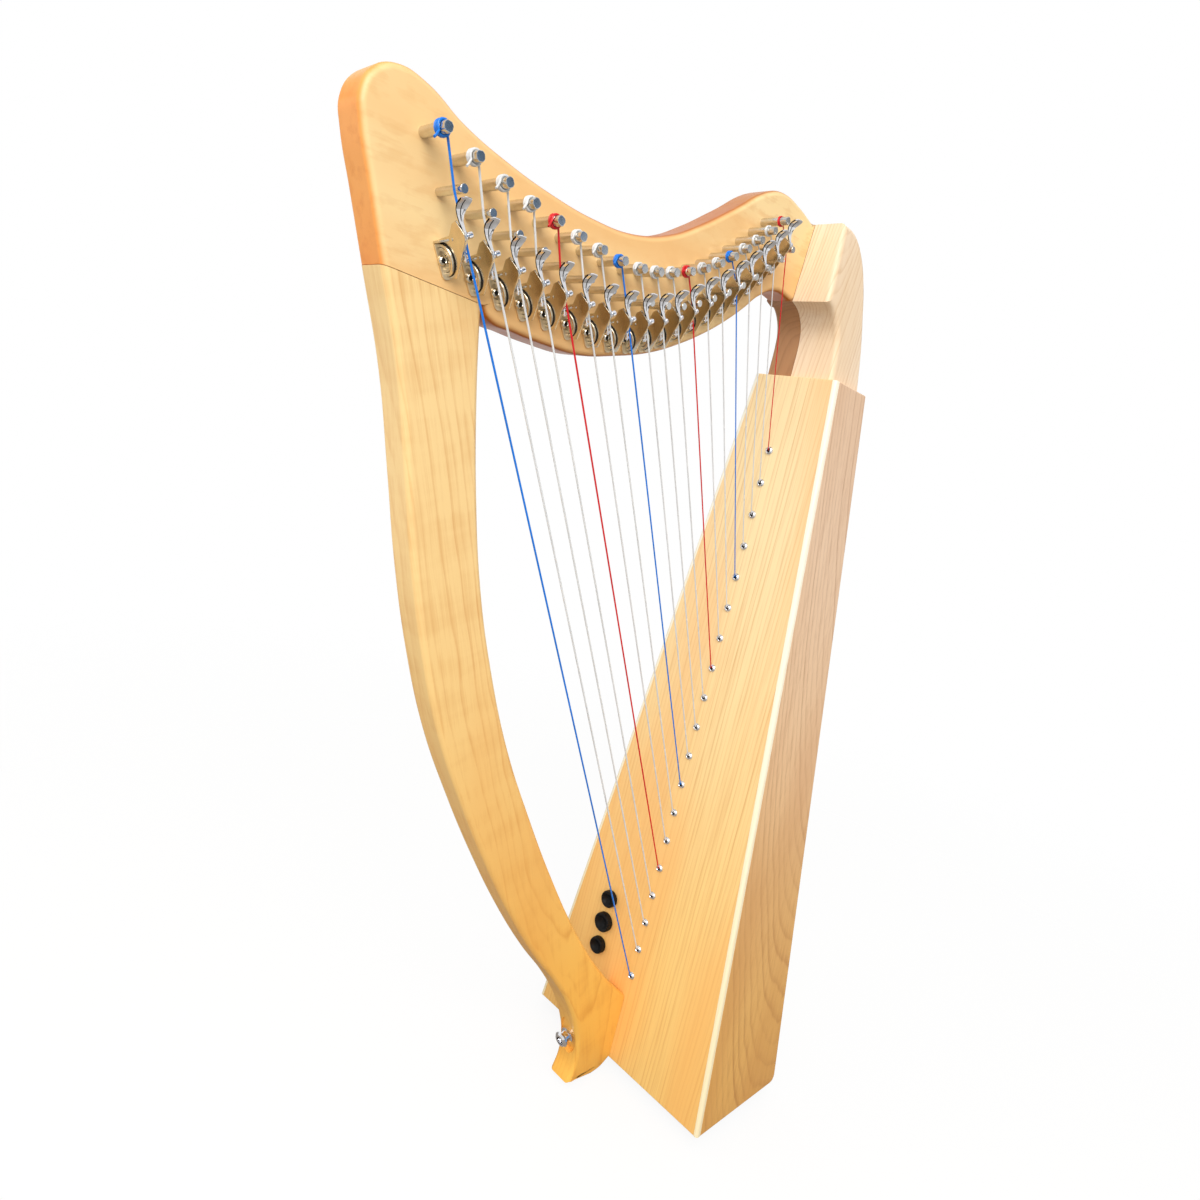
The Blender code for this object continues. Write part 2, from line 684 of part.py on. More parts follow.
# Strings, with their turns round the tuning pins, tied into the rib
def string_points(i):
    r = string_r(i)
    a, b = string_top(i), string_foot(i)
    t = tuning(i)
    radius = TUNING_R + 0.0003 + r
    v = Vector((t.x - a.x, t.z - a.z))
    swing = math.asin(radius / v.length)
    long = math.sqrt(v.length ** 2 - radius ** 2)
    ang = math.atan2(v.y, v.x) - swing
    touch = Vector((a.x + long * math.cos(ang), a.z + long * math.sin(ang)))
    start = math.atan2(touch.y - t.z, touch.x - t.x)
    pts = [eyelet(i) + Vector((BOARD_T + GAP + RIB_D / 2, 0, 0)), eyelet(i) + Vector((0.0006, 0, 0)),
           eyelet(i) - Vector((EYELET_RISE * 0.6, 0, 0)), b + (a - b) * 0.004, a]
    n = int(round(WIND_TURNS * WIND_POINTS))
    pitch = 2 * r + 0.00045
    mid = PLANK_NEAR_Y - WIND_STAND
    for k in range(n + 1):
        w = start + 2 * math.pi * k / WIND_POINTS
        pts.append(Vector((t.x + radius * math.cos(w), mid - pitch * k / WIND_POINTS,
                           t.z + radius * math.sin(w))))
    return pts


def tube(name, pts, r, res):
    data = bpy.data.curves.new(name, "CURVE")
    data.dimensions = "3D"
    data.bevel_depth = r
    data.bevel_resolution = res
    data.use_fill_caps = True
    sp = data.splines.new("POLY")
    sp.points.add(len(pts) - 1)
    for p, q in zip(sp.points, pts):
        p.co = (*q, 1)
    ob = bpy.data.objects.new(name, data)
    tools.objects.link(ob)
    mesh = mesh_of(ob)
    bpy.data.objects.remove(ob)
    weld(mesh, 2e-5)
    return mesh


least = 1.0
bm = bmesh.new()
for i in range(STRING_COUNT):
    pts = string_points(i)
    one = tube("string", pts, string_r(i), 1)
    bm.from_mesh(one)
    turns = pts[5:]
    for k in range(len(turns)):
        for j in range(k + WIND_POINTS // 2, len(turns)):
            least = min(least, (turns[k] - turns[j]).length - 2 * string_r(i))
print("least gap between the turns of a winding: %.2f mm" % (least * 1000))
mesh = bpy.data.meshes.new("strings")
bm.to_mesh(mesh)
bm.free()
strings = add("strings", mesh, None, tools)
rib = box_plate("string_rib_and_strings", lambda z: behind_board(z) + GAP,
                lambda z: behind_board(z) + GAP + RIB_D, lambda z: -RIB_W / 2,
                lambda z: RIB_W / 2, TAIL_H + GAP, raised(DRAWN_HEIGHT - TENON / 1000) - GAP, NYLON)
boolean(rib, strings, "UNION")

# Eyelets stand on the board; each string goes down through its own
def eyelet_of(bm, i):
    long = EYELET_RISE + 0.001
    m = Matrix.Translation(eyelet(i) + Vector((0.001 - long / 2, 0, 0))) @ Matrix.Rotation(
        math.pi / 2, 4, "Y")
    bmesh.ops.create_cone(bm, cap_ends=True, segments=8, radius1=EYELET_R, radius2=EYELET_R,
                          depth=long, matrix=m)


def string_hole_of(bm, i):
    m = Matrix.Translation(eyelet(i)) @ Matrix.Rotation(math.pi / 2, 4, "Y")
    bmesh.ops.create_cone(bm, cap_ends=True, segments=8, radius1=STRING_HOLE_R,
                          radius2=STRING_HOLE_R, depth=0.02, matrix=m)


def shaft_hole_of(bm, i):
    if i < len(KNOB_Z):
        m = Matrix.Translation((FRONT_X, KNOB_Y, KNOB_Z[i])) @ Matrix.Rotation(math.pi / 2, 4, "Y")
        bmesh.ops.create_cone(bm, cap_ends=True, segments=12, radius1=SHAFT_R + 0.0004,
                              radius2=SHAFT_R + 0.0004, depth=0.02, matrix=m)


boolean(soundboard, islands("eyelets", eyelet_of), "UNION")
boolean(soundboard, islands("string_holes", string_hole_of), "DIFFERENCE")
boolean(soundboard, islands("shaft_holes", shaft_hole_of), "DIFFERENCE")

# Controls, preamplifier, pickup and jack
case_x = FRONT_X + BOARD_T + GAP
hexa("preamp_case", lambda i, j, k: (
    case_x + (CASE_D if i else 0), KNOB_Y + (CASE_HALF_W if j else -CASE_HALF_W),
    KNOB_Z[0] + CASE_OVER if k else KNOB_Z[2] - CASE_OVER), BLACK)
hexa("pickup_strip", lambda i, j, k: (
    case_x + (PICKUP_T if i else 0), -RIB_W / 2 - 0.0005 - (0 if j else PICKUP_W),
    PICKUP_Z[1] if k else PICKUP_Z[0]), NICKEL)
for n, (z, r) in enumerate(zip(KNOB_Z, KNOB_R)):
    stem = BOARD_T + GAP - 0.0003
    profile = [(0, KNOB_H - 0.0016), (r * 0.45, KNOB_H - 0.0013), (r * 0.72, KNOB_H),
               (r - 0.0006, KNOB_H), (r, KNOB_H - 0.0008), (r, 0.0008), (SHAFT_R, 0.0008),
               (SHAFT_R, -stem), (0, -stem)]
    knob = turned("knob_%d" % (n + 1), profile, 16, BLACK)
    knob.rotation_euler = (0, -math.pi / 2, 0)
    knob.location = (FRONT_X, KNOB_Y, z)


def column_front(z):
    """The column's front edge at a height, and its slope there."""
    pts = mm(column_outer)
    for (x0, z0), (x1, z1) in zip(pts, pts[1:]):
        if z0 <= z <= z1:
            return x0 + (x1 - x0) * (z - z0) / (z1 - z0), math.atan2(x1 - x0, z1 - z0)
    return pts[0][0], 0.0


jack_x, lean = column_front(JACK_Z)
bm = bmesh.new()
bmesh.ops.create_cone(bm, cap_ends=True, segments=16, radius1=JACK_BORE_R + 0.0003,
                      radius2=JACK_BORE_R + 0.0003, depth=2 * JACK_BORE)
mesh = bpy.data.meshes.new("jack_bore")
bm.to_mesh(mesh)
bm.free()
cut = add("jack_bore", mesh, None, tools)
tilt = (0, lean - math.pi / 2, 0)
home = (jack_x, (PLANK_NEAR_Y + PLANK_FAR_Y) / 2, JACK_Z)
cut.rotation_euler = tilt
cut.location = home
settle(column)
boolean(column, cut, "DIFFERENCE")
jack = turned("endpin_jack", [(0, 0.0052), (0.0032, 0.0052), (0.0034, 0.0092), (0.0052, 0.0092),
                              (JACK_R, 0.0078), (JACK_R, 0.0066), (0.0044, 0.0052),
                              (0.0044, 0.0022), (0.0064, 0.0012), (0.0064, 0.0004),
                              (JACK_BORE_R, 0.0004), (JACK_BORE_R, 0.0008 - JACK_BORE),
                              (0, 0.0008 - JACK_BORE)], 16, NICKEL)
jack.rotation_euler = tilt
jack.location = home
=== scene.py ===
import math

import bmesh
import bpy
from mathutils import Matrix, Vector


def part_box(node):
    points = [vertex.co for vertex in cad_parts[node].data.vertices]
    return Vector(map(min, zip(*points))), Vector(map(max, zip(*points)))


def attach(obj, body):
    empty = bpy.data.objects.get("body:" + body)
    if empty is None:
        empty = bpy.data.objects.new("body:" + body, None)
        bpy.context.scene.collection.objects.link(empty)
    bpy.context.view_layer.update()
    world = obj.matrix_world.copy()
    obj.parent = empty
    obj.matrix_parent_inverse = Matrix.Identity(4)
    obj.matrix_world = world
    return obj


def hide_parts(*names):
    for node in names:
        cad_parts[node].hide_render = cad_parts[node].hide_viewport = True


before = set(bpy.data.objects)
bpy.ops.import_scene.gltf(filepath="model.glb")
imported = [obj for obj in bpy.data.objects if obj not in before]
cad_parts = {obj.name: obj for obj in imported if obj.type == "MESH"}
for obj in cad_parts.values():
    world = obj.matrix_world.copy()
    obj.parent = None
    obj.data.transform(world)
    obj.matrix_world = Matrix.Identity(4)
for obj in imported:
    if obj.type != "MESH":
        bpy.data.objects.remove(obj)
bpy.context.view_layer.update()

scene = bpy.context.scene
scene.view_settings.view_transform = "Standard"

CAMERA_AT = (-0.5760, -0.3396, 0.4790)
LENS = 23.44


def stand(name, data):
    """Adds an object to the scene."""
    ob = bpy.data.objects.new(name, data)
    scene.collection.objects.link(ob)
    return ob


heading, dip, roll = (math.radians(a) for a in (42.50, 8.50, 13.32))
forward = Vector((math.cos(heading) * math.cos(dip), math.sin(heading) * math.cos(dip),
                  -math.sin(dip)))
level = Vector((math.sin(heading), -math.cos(heading), 0))
right = level * math.cos(roll) + level.cross(forward) * math.sin(roll)
camera = stand("camera", bpy.data.cameras.new("camera"))
camera.data.sensor_width = 36
camera.data.lens = LENS
camera.data.clip_start = 0.02
camera.matrix_world = Matrix((right, right.cross(forward), -forward)).transposed().to_4x4()
camera.matrix_world.translation = CAMERA_AT
scene.camera = camera


def wire(node, inputs):
    """Fills a node's inputs with numbers or wires."""
    for key, value in inputs.items() if isinstance(inputs, dict) else enumerate(inputs):
        if isinstance(value, bpy.types.NodeSocket):
            node.id_data.links.new(value, node.inputs[key])
        elif value is not None:
            node.inputs[key].default_value = value


def put(tree, kind, inputs=(), **settings):
    """Adds a node and gives its first output."""
    node = tree.nodes.new("ShaderNode" + kind)
    for key, value in settings.items():
        setattr(node, key, value)
    wire(node, inputs)
    return node.outputs[0]


def calc(tree, operation, *values):
    """A sum on numbers or wires."""
    return put(tree, "Math", values, operation=operation)


def along(tree, place, direction):
    """How far a place is in a direction."""
    return put(tree, "VectorMath", (place, direction),
               operation="DOT_PRODUCT").node.outputs["Value"]


def ramp(tree, value, low, high, out_low=0.0, out_high=1.0):
    """Goes smoothly from one number to another while a value goes from low to high."""
    return put(tree, "MapRange", (value, low, high, out_low, out_high),
               interpolation_type="SMOOTHSTEP")


def tint(tree, share, a, b, how="MIX"):
    """Mixes two colours."""
    return put(tree, "Mix", {0: share, 6: a, 7: b}, data_type="RGBA",
               blend_type=how).node.outputs[2]


UP, LEFT = (0, 0, 1), (-0.98, 0.2, 0.0)
BLUE_PATCH = (0.40, -0.85, 0.34)
# Dark bands: a direction, how far along it, half widths of the dark and of its edge, and
# the light that is left in it.
BANDS = ((UP, 0.34, 0.03, 0.08, 0.18), ((0.70, 0.71, 0.0), 0.52, 0.02, 0.06, 0.08),
         ((-0.60, -0.80, 0.0), 0.30, 0.02, 0.06, 0.08), ((-0.9, 0.3, 0.3), 0.62, 0.02, 0.06, 0.08))
room = bpy.data.worlds.new("room")
room.use_nodes = True
scene.world = room
tree = room.node_tree
tree.nodes.clear()
rays = put(tree, "LightPath").node.outputs
look = put(tree, "TexCoord").node.outputs["Generated"]
shine = ramp(tree, along(tree, look, tuple(forward)), -0.8, 0.2, 0.86, 1.0)
for direction, reach, core, rim, kept in BANDS:
    off = calc(tree, "ABSOLUTE", calc(tree, "ADD", along(tree, look, direction), -reach))
    shine = calc(tree, "MULTIPLY", shine, ramp(tree, off, core, rim, kept, 1.0))
shine = calc(tree, "MAXIMUM", rays["Is Camera Ray"], shine)
blue = ramp(tree, along(tree, look, BLUE_PATCH), 0.92, 0.98)
blue = calc(tree, "MULTIPLY", blue, calc(tree, "SUBTRACT", 1.0, rays["Is Camera Ray"]))
sky = tint(tree, blue, (1, 1, 1, 1), (0.20, 0.42, 0.78, 1))
seen = calc(tree, "MAXIMUM", rays["Is Camera Ray"],
            calc(tree, "MAXIMUM", rays["Is Glossy Ray"], rays["Is Transmission Ray"]))
above = ramp(tree, along(tree, look, UP), -0.5, 0.5, 0.20, 0.76)
aside = ramp(tree, along(tree, look, LEFT), 0.2, 1.0, 0.0, 0.39)
soft = put(tree, "Background", ((1.0, 0.98, 0.95, 1), calc(tree, "ADD", above, aside)))
white = put(tree, "Background", (sky, shine))
wire(tree.nodes.new("ShaderNodeOutputWorld"),
     {"Surface": put(tree, "MixShader", (seen, soft, white))})

lamp = stand("window_lamp", bpy.data.lights.new("window_lamp", "AREA"))
lamp.data.shape = "SQUARE"
lamp.data.size = 1.5
lamp.data.energy = 34
lamp.location = (-1.5, -1.2, 1.5)
aim = Vector((-0.15, 0, 0.35)) - lamp.location
lamp.rotation_euler = aim.to_track_quat("-Z", "Y").to_euler()

FLOOR_Z, FLOOR_R = -0.0090, 2.4
FADE = (0.5, 1.5)
bm = bmesh.new()
bmesh.ops.create_circle(bm, cap_ends=True, segments=64, radius=FLOOR_R)
mesh = bpy.data.meshes.new("floor")
bm.to_mesh(mesh)
bm.free()
mesh.transform(Matrix.Translation((0, 0, FLOOR_Z)))
floor = stand("floor", mesh)
paper = bpy.data.materials.new("white_paper")
paper.use_nodes = True
tree = paper.node_tree
tree.nodes.clear()
place = put(tree, "TexCoord").node.outputs["Object"]
away = put(tree, "VectorMath", (place,), operation="LENGTH").node.outputs["Value"]
rays = put(tree, "LightPath").node.outputs
matt = put(tree, "BsdfDiffuse", ((0.93, 0.93, 0.92, 1),))
glow = put(tree, "Emission", ((1, 1, 1, 1), 1.0))
dull = put(tree, "BsdfDiffuse", ((0.32, 0.31, 0.30, 1),))
shown = put(tree, "MixShader", (0.90, matt, glow))
lit = put(tree, "MixShader", (rays["Is Camera Ray"], dull, shown))
clear = put(tree, "BsdfTransparent")
wire(tree.nodes.new("ShaderNodeOutputMaterial"),
     {"Surface": put(tree, "MixShader", (ramp(tree, away, *FADE), lit, clear))})
mesh.materials.append(paper)


# Sides of the sound box: two long boards of plain-sawn hardwood, sawn to the taper of the
# box and glued to its top, back and bottom. Their lower back corners are rounded off.
DEEP, SIDEWAYS = (1, 0, 0), (0, 1, 0)         # into the box from its board, and across it
GAP = 0.0003                                  # the glue line between two pieces
FRONT = -0.058
HEIGHT = 0.587
SIDE = 0.0065
STRIP_W, STRIP_D = 0.0034, 0.0043
NEAR_FOOT, NEAR_TAPER = -0.0965, 0.0560
FAR_FOOT, FAR_TAPER = 0.0928, 0.0626
BACK_FOOT, BACK_TAPER = 0.058, 0.068
FOOT_ROUND, HEAD_ROUND, EDGE_ROUND, BROKEN = 0.007, 0.004, 0.0012, 0.0003
SMOOTH_BEND = 35
LOW_FROM, LOW_TO = 0.52, 0.02
RIM_FADE, END_FADE = 0.0022, 0.016


def near(z):
    """The near side of the box at a height."""
    return NEAR_FOOT + NEAR_TAPER * z / HEIGHT


def far(z):
    """Its far side."""
    return FAR_FOOT - FAR_TAPER * z / HEIGHT


def back(z):
    """Its back."""
    return BACK_FOOT - BACK_TAPER * z / HEIGHT


def slab(x0, x1, y0, y1, z0, z1):
    """A cube pulled out into a board whose faces may follow functions of the height."""
    bm = bmesh.new()
    bmesh.ops.create_cube(bm, size=1.0)
    for v in bm.verts:
        z = z1 if v.co.z > 0 else z0
        x, y = x1 if v.co.x > 0 else x0, y1 if v.co.y > 0 else y0
        v.co = (x(z) if callable(x) else x, y(z) if callable(y) else y, z)
    return bm


def ease(bm, pick, radius, segments=3):
    """Rounds the edges that pick() chooses by their middle and direction."""
    chosen = [e for e in bm.edges if len(e.link_faces) == 2 and e.calc_face_angle(0) > 0.9
              and pick((e.verts[0].co + e.verts[1].co) / 2,
                       (e.verts[1].co - e.verts[0].co).normalized())]
    bmesh.ops.bevel(bm, geom=chosen, offset=radius, offset_type="OFFSET", segments=segments,
                    profile=0.5, affect="EDGES", material=-1, clamp_overlap=False)


def everywhere(mid, run):
    """Chooses every edge."""
    return True


def shell(bm):
    """Turns a bmesh into a mesh with its faces outward."""
    bmesh.ops.recalc_face_normals(bm, faces=bm.faces)
    mesh = bpy.data.meshes.new("shell")
    bm.to_mesh(mesh)
    bm.free()
    return mesh


def set_in(name, made, finish, body="frame", stands_for=()):
    """Puts a finished mesh in its place on a body, shaded smooth over its small bends."""
    mesh = shell(made) if isinstance(made, bmesh.types.BMesh) else made
    mesh.name = name
    mesh.shade_smooth()
    mesh.set_sharp_from_angle(angle=math.radians(SMOOTH_BEND))
    mesh.materials.clear()
    mesh.materials.append(finish)
    ob = stand(name, mesh)
    ob.modifiers.new("even_shine", "WEIGHTED_NORMAL").keep_sharp = True
    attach(ob, body)
    if stands_for:
        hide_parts(*stands_for)
    return ob


def paint(r, g, b):
    """A colour as it looks, 0 to 255, to the light that it gives back."""
    return tuple(((c / 255 + 0.055) / 1.055) ** 2.4 for c in (r, g, b)) + (1,)


def fresh(name):
    """A new material, its tree, its shader and the place on a piece in metres."""
    m = bpy.data.materials.new(name)
    m.use_nodes = True
    tree = m.node_tree
    return m, tree, tree.nodes["Principled BSDF"], put(tree, "TexCoord").node.outputs["Object"]


def wood(name, pale, dark, grain, width, heart, lean=0.0, ring=0.004, line=0.7, wander=0.004,
         fibre=0.16, cloud=0.35, cloud_colour=None, low=None, edge=None, gloss=0.34, curl=0.0,
         wave=(55, 9)):
    """Lacquered wood. grain and width are directions along and across the board's face, and
    heart is where the middle of the tree was, across the face and behind it; lean tilts it
    against the grain. ring is one year's growth, line the darkness of its late wood and
    wander how far the rings stray. fibre is the fine grain, cloud and curl are broad and
    rippled figure, low tints the foot of a tall piece, and edge tints a plank's rim and its
    end: the darker grain there, and painted shade where a rim is given a darker colour for the
    shadow it lies in."""
    m, tree, shader, place = fresh(name)
    grain, width = Vector(grain).normalized(), Vector(width).normalized()
    x = along(tree, place, tuple(grain))
    y = along(tree, place, tuple(width))
    z = along(tree, place, tuple(grain.cross(width)))

    def noise(sx, sy, sz, detail=2.0, rough=0.5, seed=0.0):
        at = put(tree, "CombineXYZ", [calc(tree, "MULTIPLY_ADD", v, s, seed)
                                      for v, s in ((x, sx), (y, sy), (z, sz))])
        return put(tree, "TexNoise", {"Vector": at, "Scale": 1.0, "Detail": detail,
                                      "Roughness": rough})

    def centred(value, size):
        return calc(tree, "MULTIPLY_ADD", value, size * 2, -size)

    u = calc(tree, "ADD", calc(tree, "ADD", y, -heart[0]),
             centred(noise(4, 16, 16, 3, seed=3.1), wander))
    v = calc(tree, "ADD", calc(tree, "MULTIPLY_ADD", x, lean, -heart[1]),
             calc(tree, "ADD", z, centred(noise(6, 22, 22, 2, seed=7.7), wander)))
    r = calc(tree, "SQRT", calc(tree, "ADD", calc(tree, "MULTIPLY", u, u),
                                calc(tree, "MULTIPLY", v, v)))
    r = calc(tree, "DIVIDE", r, ring)
    part = calc(tree, "FRACT", r)
    year = calc(tree, "FLOOR", r)
    late = put(tree, "ValToRGB", (part,))
    stops = late.node.color_ramp.elements
    stops[0].position, stops[1].position = 0.0, 1.0
    stops[0].color, stops[1].color = (0.15, 0.15, 0.15, 1), (0.1, 0.1, 0.1, 1)
    for at, tone in ((0.12, 0.0), (0.60, 0.28), (0.88, 1.0)):
        stops.new(at).color = (tone, tone, tone, 1)
    strength = put(tree, "TexWhiteNoise", {"W": year}, noise_dimensions="1D")
    late = calc(tree, "MULTIPLY", late, calc(tree, "MULTIPLY_ADD", strength, 0.75, 0.25))
    hair = noise(28, 1500, 1500, 2, 0.6)
    streak = noise(7, 260, 260, 3, 0.6, seed=5.0)
    patch = ramp(tree, noise(3.0, 15, 15, 2, seed=11.0), 0.35, 0.68)
    tone = calc(tree, "ADD", calc(tree, "MULTIPLY", late, line),
                calc(tree, "ADD", centred(hair, fibre), centred(streak, fibre * 1.4)))
    if curl:
        figure = noise(wave[0], wave[1], wave[1], 3, 0.55, seed=2.0)
        tone = calc(tree, "ADD", tone, centred(ramp(tree, figure, 0.3, 0.7), curl))
    tone = put(tree, "Clamp", (tone,))
    colour = tint(tree, tone, paint(*pale), paint(*dark))
    if cloud_colour:
        colour = tint(tree, calc(tree, "MULTIPLY", patch, cloud), colour, paint(*cloud_colour))
    if low:
        height = put(tree, "SeparateXYZ", (place,)).node.outputs["Z"]
        colour = tint(tree, ramp(tree, height, LOW_FROM, LOW_TO), colour, paint(*low),
                      "MULTIPLY")
    # Rim and end tint: the darker grain at a plank's rim, and painted shade where the given colour
    # is darker than that grain.
    if edge:
        middle, half, shade, end, end_shade = edge
        off = calc(tree, "ABSOLUTE", calc(tree, "SUBTRACT", z, middle))
        rim = tint(tree, ramp(tree, x, end, end - END_FADE), paint(*shade), paint(*end_shade))
        colour = tint(tree, ramp(tree, off, half, half - RIM_FADE), colour, rim, "MULTIPLY")
    height = calc(tree, "ADD", hair, calc(tree, "MULTIPLY", late, -0.5))
    wire(shader, {"Base Color": colour,
                  "Roughness": calc(tree, "MULTIPLY_ADD", streak, 0.14, gloss),
                  "Specular IOR Level": 0.32, "Coat Weight": 0.16, "Coat Roughness": 0.14,
                  "Normal": put(tree, "Bump", {"Strength": 0.25, "Distance": 0.00012,
                                               "Height": height})})
    return m


side_wood = wood("side_wood", (240, 206, 172), (176, 126, 88), UP, DEEP, (0.05, 0.055), 0.10,
                 ring=0.0042, line=0.66, wander=0.0050, fibre=0.30, cloud=0.6,
                 cloud_colour=(220, 176, 138), low=(255, 228, 150))

for name, outer, inner, sign in (
        ("side_panel_near", near, lambda z: near(z) + SIDE, -1),
        ("side_panel_far", far, lambda z: far(z) - SIDE, 1)):
    low, high = (outer, inner) if sign < 0 else (inner, outer)
    bm = slab(FRONT + STRIP_D + GAP, back, low, high, 0, HEIGHT)
    ease(bm, lambda mid, run: abs(run.y) > 0.9 and mid.x > 0 and mid.z < 0.1, FOOT_ROUND, 6)
    ease(bm, lambda mid, run: abs(run.y) > 0.9 and mid.x > back(0.55) - 0.001 and mid.z > 0.5,
         HEAD_ROUND, 5)
    ease(bm, lambda mid, run: abs(mid.y - outer(mid.z)) < 1e-4 and mid.x > FRONT + 0.01,
         EDGE_ROUND, 3)
    ease(bm, everywhere, BROKEN, 1)
    set_in(name + "_board", bm, side_wood, stands_for=[name])


# Inside of the sound box: bottom board, two braces, the block that the column is screwed to
# and the rib behind the strings, all sawn from plain spruce or maple, glued in and left
# without lacquer. All but the rib are the solids of the CAD.
RIB_HALF, RIB_D, RIB_ROUND = 0.011, 0.006, 0.0008
RIB_LOW, RIB_HIGH = 0.0453, 0.5467
raw_spruce = wood("raw_spruce", (226, 190, 138), (190, 144, 92), SIDEWAYS, UP, (-0.4, 0.0),
                  ring=0.0022, line=0.5, gloss=0.6)
raw_maple = wood("raw_maple", (222, 184, 134), (184, 140, 96), SIDEWAYS, DEEP, (0.0, 0.05), 0.05,
                 gloss=0.55)


def dress(node, finish):
    """Shows a solid of the CAD as it is, in a finish."""
    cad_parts[node].material_slots[0].material = finish


for node in ("brace_low", "brace_high"):
    dress(node, raw_spruce)
for node in ("tail_block", "bottom_board"):
    dress(node, raw_maple)

bm = slab(FRONT + STRIP_D + GAP, FRONT + STRIP_D + RIB_D, -RIB_HALF, RIB_HALF, RIB_LOW, RIB_HIGH)
ease(bm, everywhere, RIB_ROUND, 2)
set_in("string_rib", bm, raw_spruce, stands_for=["string_rib_and_strings"])


# Back of the sound box: a thin maple board let in between the sides, with three round sound
# holes bored in it, larger towards the base, and their rims eased by hand.
back_wood = wood("back_wood", (246, 212, 158), (205, 158, 104), UP, SIDEWAYS, (0.01, 0.06), 0.08,
                 ring=0.0045, line=0.55, cloud=0.4, cloud_colour=(236, 192, 138),
                 low=(252, 240, 205))


def mesh_of(ob):
    """Trades an object for its mesh, with its modifiers or its curve worked out."""
    bpy.context.view_layer.update()
    done = ob.evaluated_get(bpy.context.evaluated_depsgraph_get())
    mesh = bpy.data.meshes.new_from_object(done)
    bpy.data.objects.remove(ob)
    return mesh


def bored(bm, cutters):
    """Takes each cutter out of a piece."""
    blank = stand("blank", shell(bm))
    used = [stand("cutter", shell(cutter)) for cutter in cutters]
    for tool in used:
        cut = blank.modifiers.new("bore", "BOOLEAN")
        cut.operation, cut.solver, cut.object = "DIFFERENCE", "EXACT", tool
    mesh = mesh_of(blank)
    for tool in used:
        bpy.data.objects.remove(tool)
    bm = bmesh.new()
    bm.from_mesh(mesh)
    bmesh.ops.remove_doubles(bm, verts=bm.verts, dist=1e-6)
    return bm


BACK_T = 0.004
BACK_LOW = 0.003
BACK_ROUND, BACK_EASED = 0.0038, 0.0007
BACK_LEAN = math.atan2(BACK_TAPER, HEIGHT)
SOUND_HOLES = ((0.130, 0.034), (0.280, 0.028), (0.410, 0.022))     # height and radius
bm = slab(lambda z: back(z) - BACK_T, back, lambda z: near(z) + SIDE + GAP,
          lambda z: far(z) - SIDE - GAP, BACK_LOW, HEIGHT)
ease(bm, lambda mid, run: abs(run.y) > 0.9 and mid.z < 0.1 and mid.x > back(mid.z) - BACK_T / 2,
     BACK_ROUND, 4)
holes = []
for z, r in SOUND_HOLES:
    hole = bmesh.new()
    aim = (Matrix.Translation((back(z) - BACK_T / 2, (near(z) + far(z)) / 2, z))
           @ Matrix.Rotation(math.pi / 2 - BACK_LEAN, 4, "Y"))
    bmesh.ops.create_cone(hole, cap_ends=True, segments=72, radius1=r, radius2=r, depth=0.03,
                          matrix=aim)
    holes.append(hole)
bm = bored(bm, holes)
ease(bm, everywhere, BACK_EASED, 2)
set_in("back_board", bm, back_wood, stands_for=["back_panel"])


# Soundboard: a thin quarter-sawn spruce board with straight close grain, glued onto the
# sides, and a pale square strip let in along each long edge and planed round. The strip's
# near-white colour is partly its pale wood and partly a painted highlight along its rounded
# edge.
BOARD_T, BOARD_ROUND = 0.004, 0.0010
STRIP_ROUND, STRIP_EASED = 0.0024, 0.0005
board_wood = wood("board_wood", (252, 226, 174), (212, 154, 92), UP, SIDEWAYS, (-0.75, 0.0),
                  ring=0.0034, line=0.48, wander=0.0026, fibre=0.34, cloud=0.60,
                  cloud_colour=(252, 200, 138), low=(255, 238, 190), gloss=0.36)
# Near-white: partly pale wood, partly a painted highlight along the strip's rounded edge.
strip_wood_and_highlight = wood("strip_wood_and_highlight", (255, 250, 230), (246, 226, 188), UP, SIDEWAYS, (-0.3, 0.0),
                  ring=0.003, line=0.3, fibre=0.08, low=(254, 244, 220), gloss=0.30)

bm = slab(FRONT, FRONT + BOARD_T, lambda z: near(z) + STRIP_W + GAP / 3,
          lambda z: far(z) - STRIP_W - GAP / 3, 0, HEIGHT)
ease(bm, lambda mid, run: abs(run.y) > 0.9 and mid.x < FRONT + 0.001, BOARD_ROUND, 3)
set_in("board", bm, board_wood, stands_for=["soundboard"])

for name, outer, inner in (("edge_strip_near", near, lambda z: near(z) + STRIP_W),
                           ("edge_strip_far", far, lambda z: far(z) - STRIP_W)):
    low, high = (outer, inner) if name.endswith("near") else (inner, outer)
    bm = slab(FRONT, FRONT + STRIP_D, low, high, 0, HEIGHT)
    ease(bm, lambda mid, run: abs(run.z) > 0.9 and mid.x < FRONT + 0.001
         and abs(mid.y - outer(mid.z)) < 1e-4, STRIP_ROUND, 5)
    ease(bm, lambda mid, run: abs(run.z) < 0.9, STRIP_EASED, 2)
    set_in(name + "_wood", bm, strip_wood_and_highlight, stands_for=[name])


# Column: sawn in one long curve from a maple plank, its edges rounded with a router. Its
# foot is screwed to the box through the tail block, and the jack sits in a pocket in front.
PLANK_NEAR, PLANK_FAR = 0.0012, 0.0234
PLANK_MID, PLANK_HALF = (PLANK_NEAR + PLANK_FAR) / 2, (PLANK_FAR - PLANK_NEAR) / 2
PLANK_ROUND = 0.0036
POCKET_AT = (FRONT - 0.0505, PLANK_MID, 0.0350)
POCKET_AIM = (-0.928, 0, -0.371)
POCKET_SIZE = (0.0085, 0.0190, 0.0240)
POCKET_RISE = 0.42                            # of its length


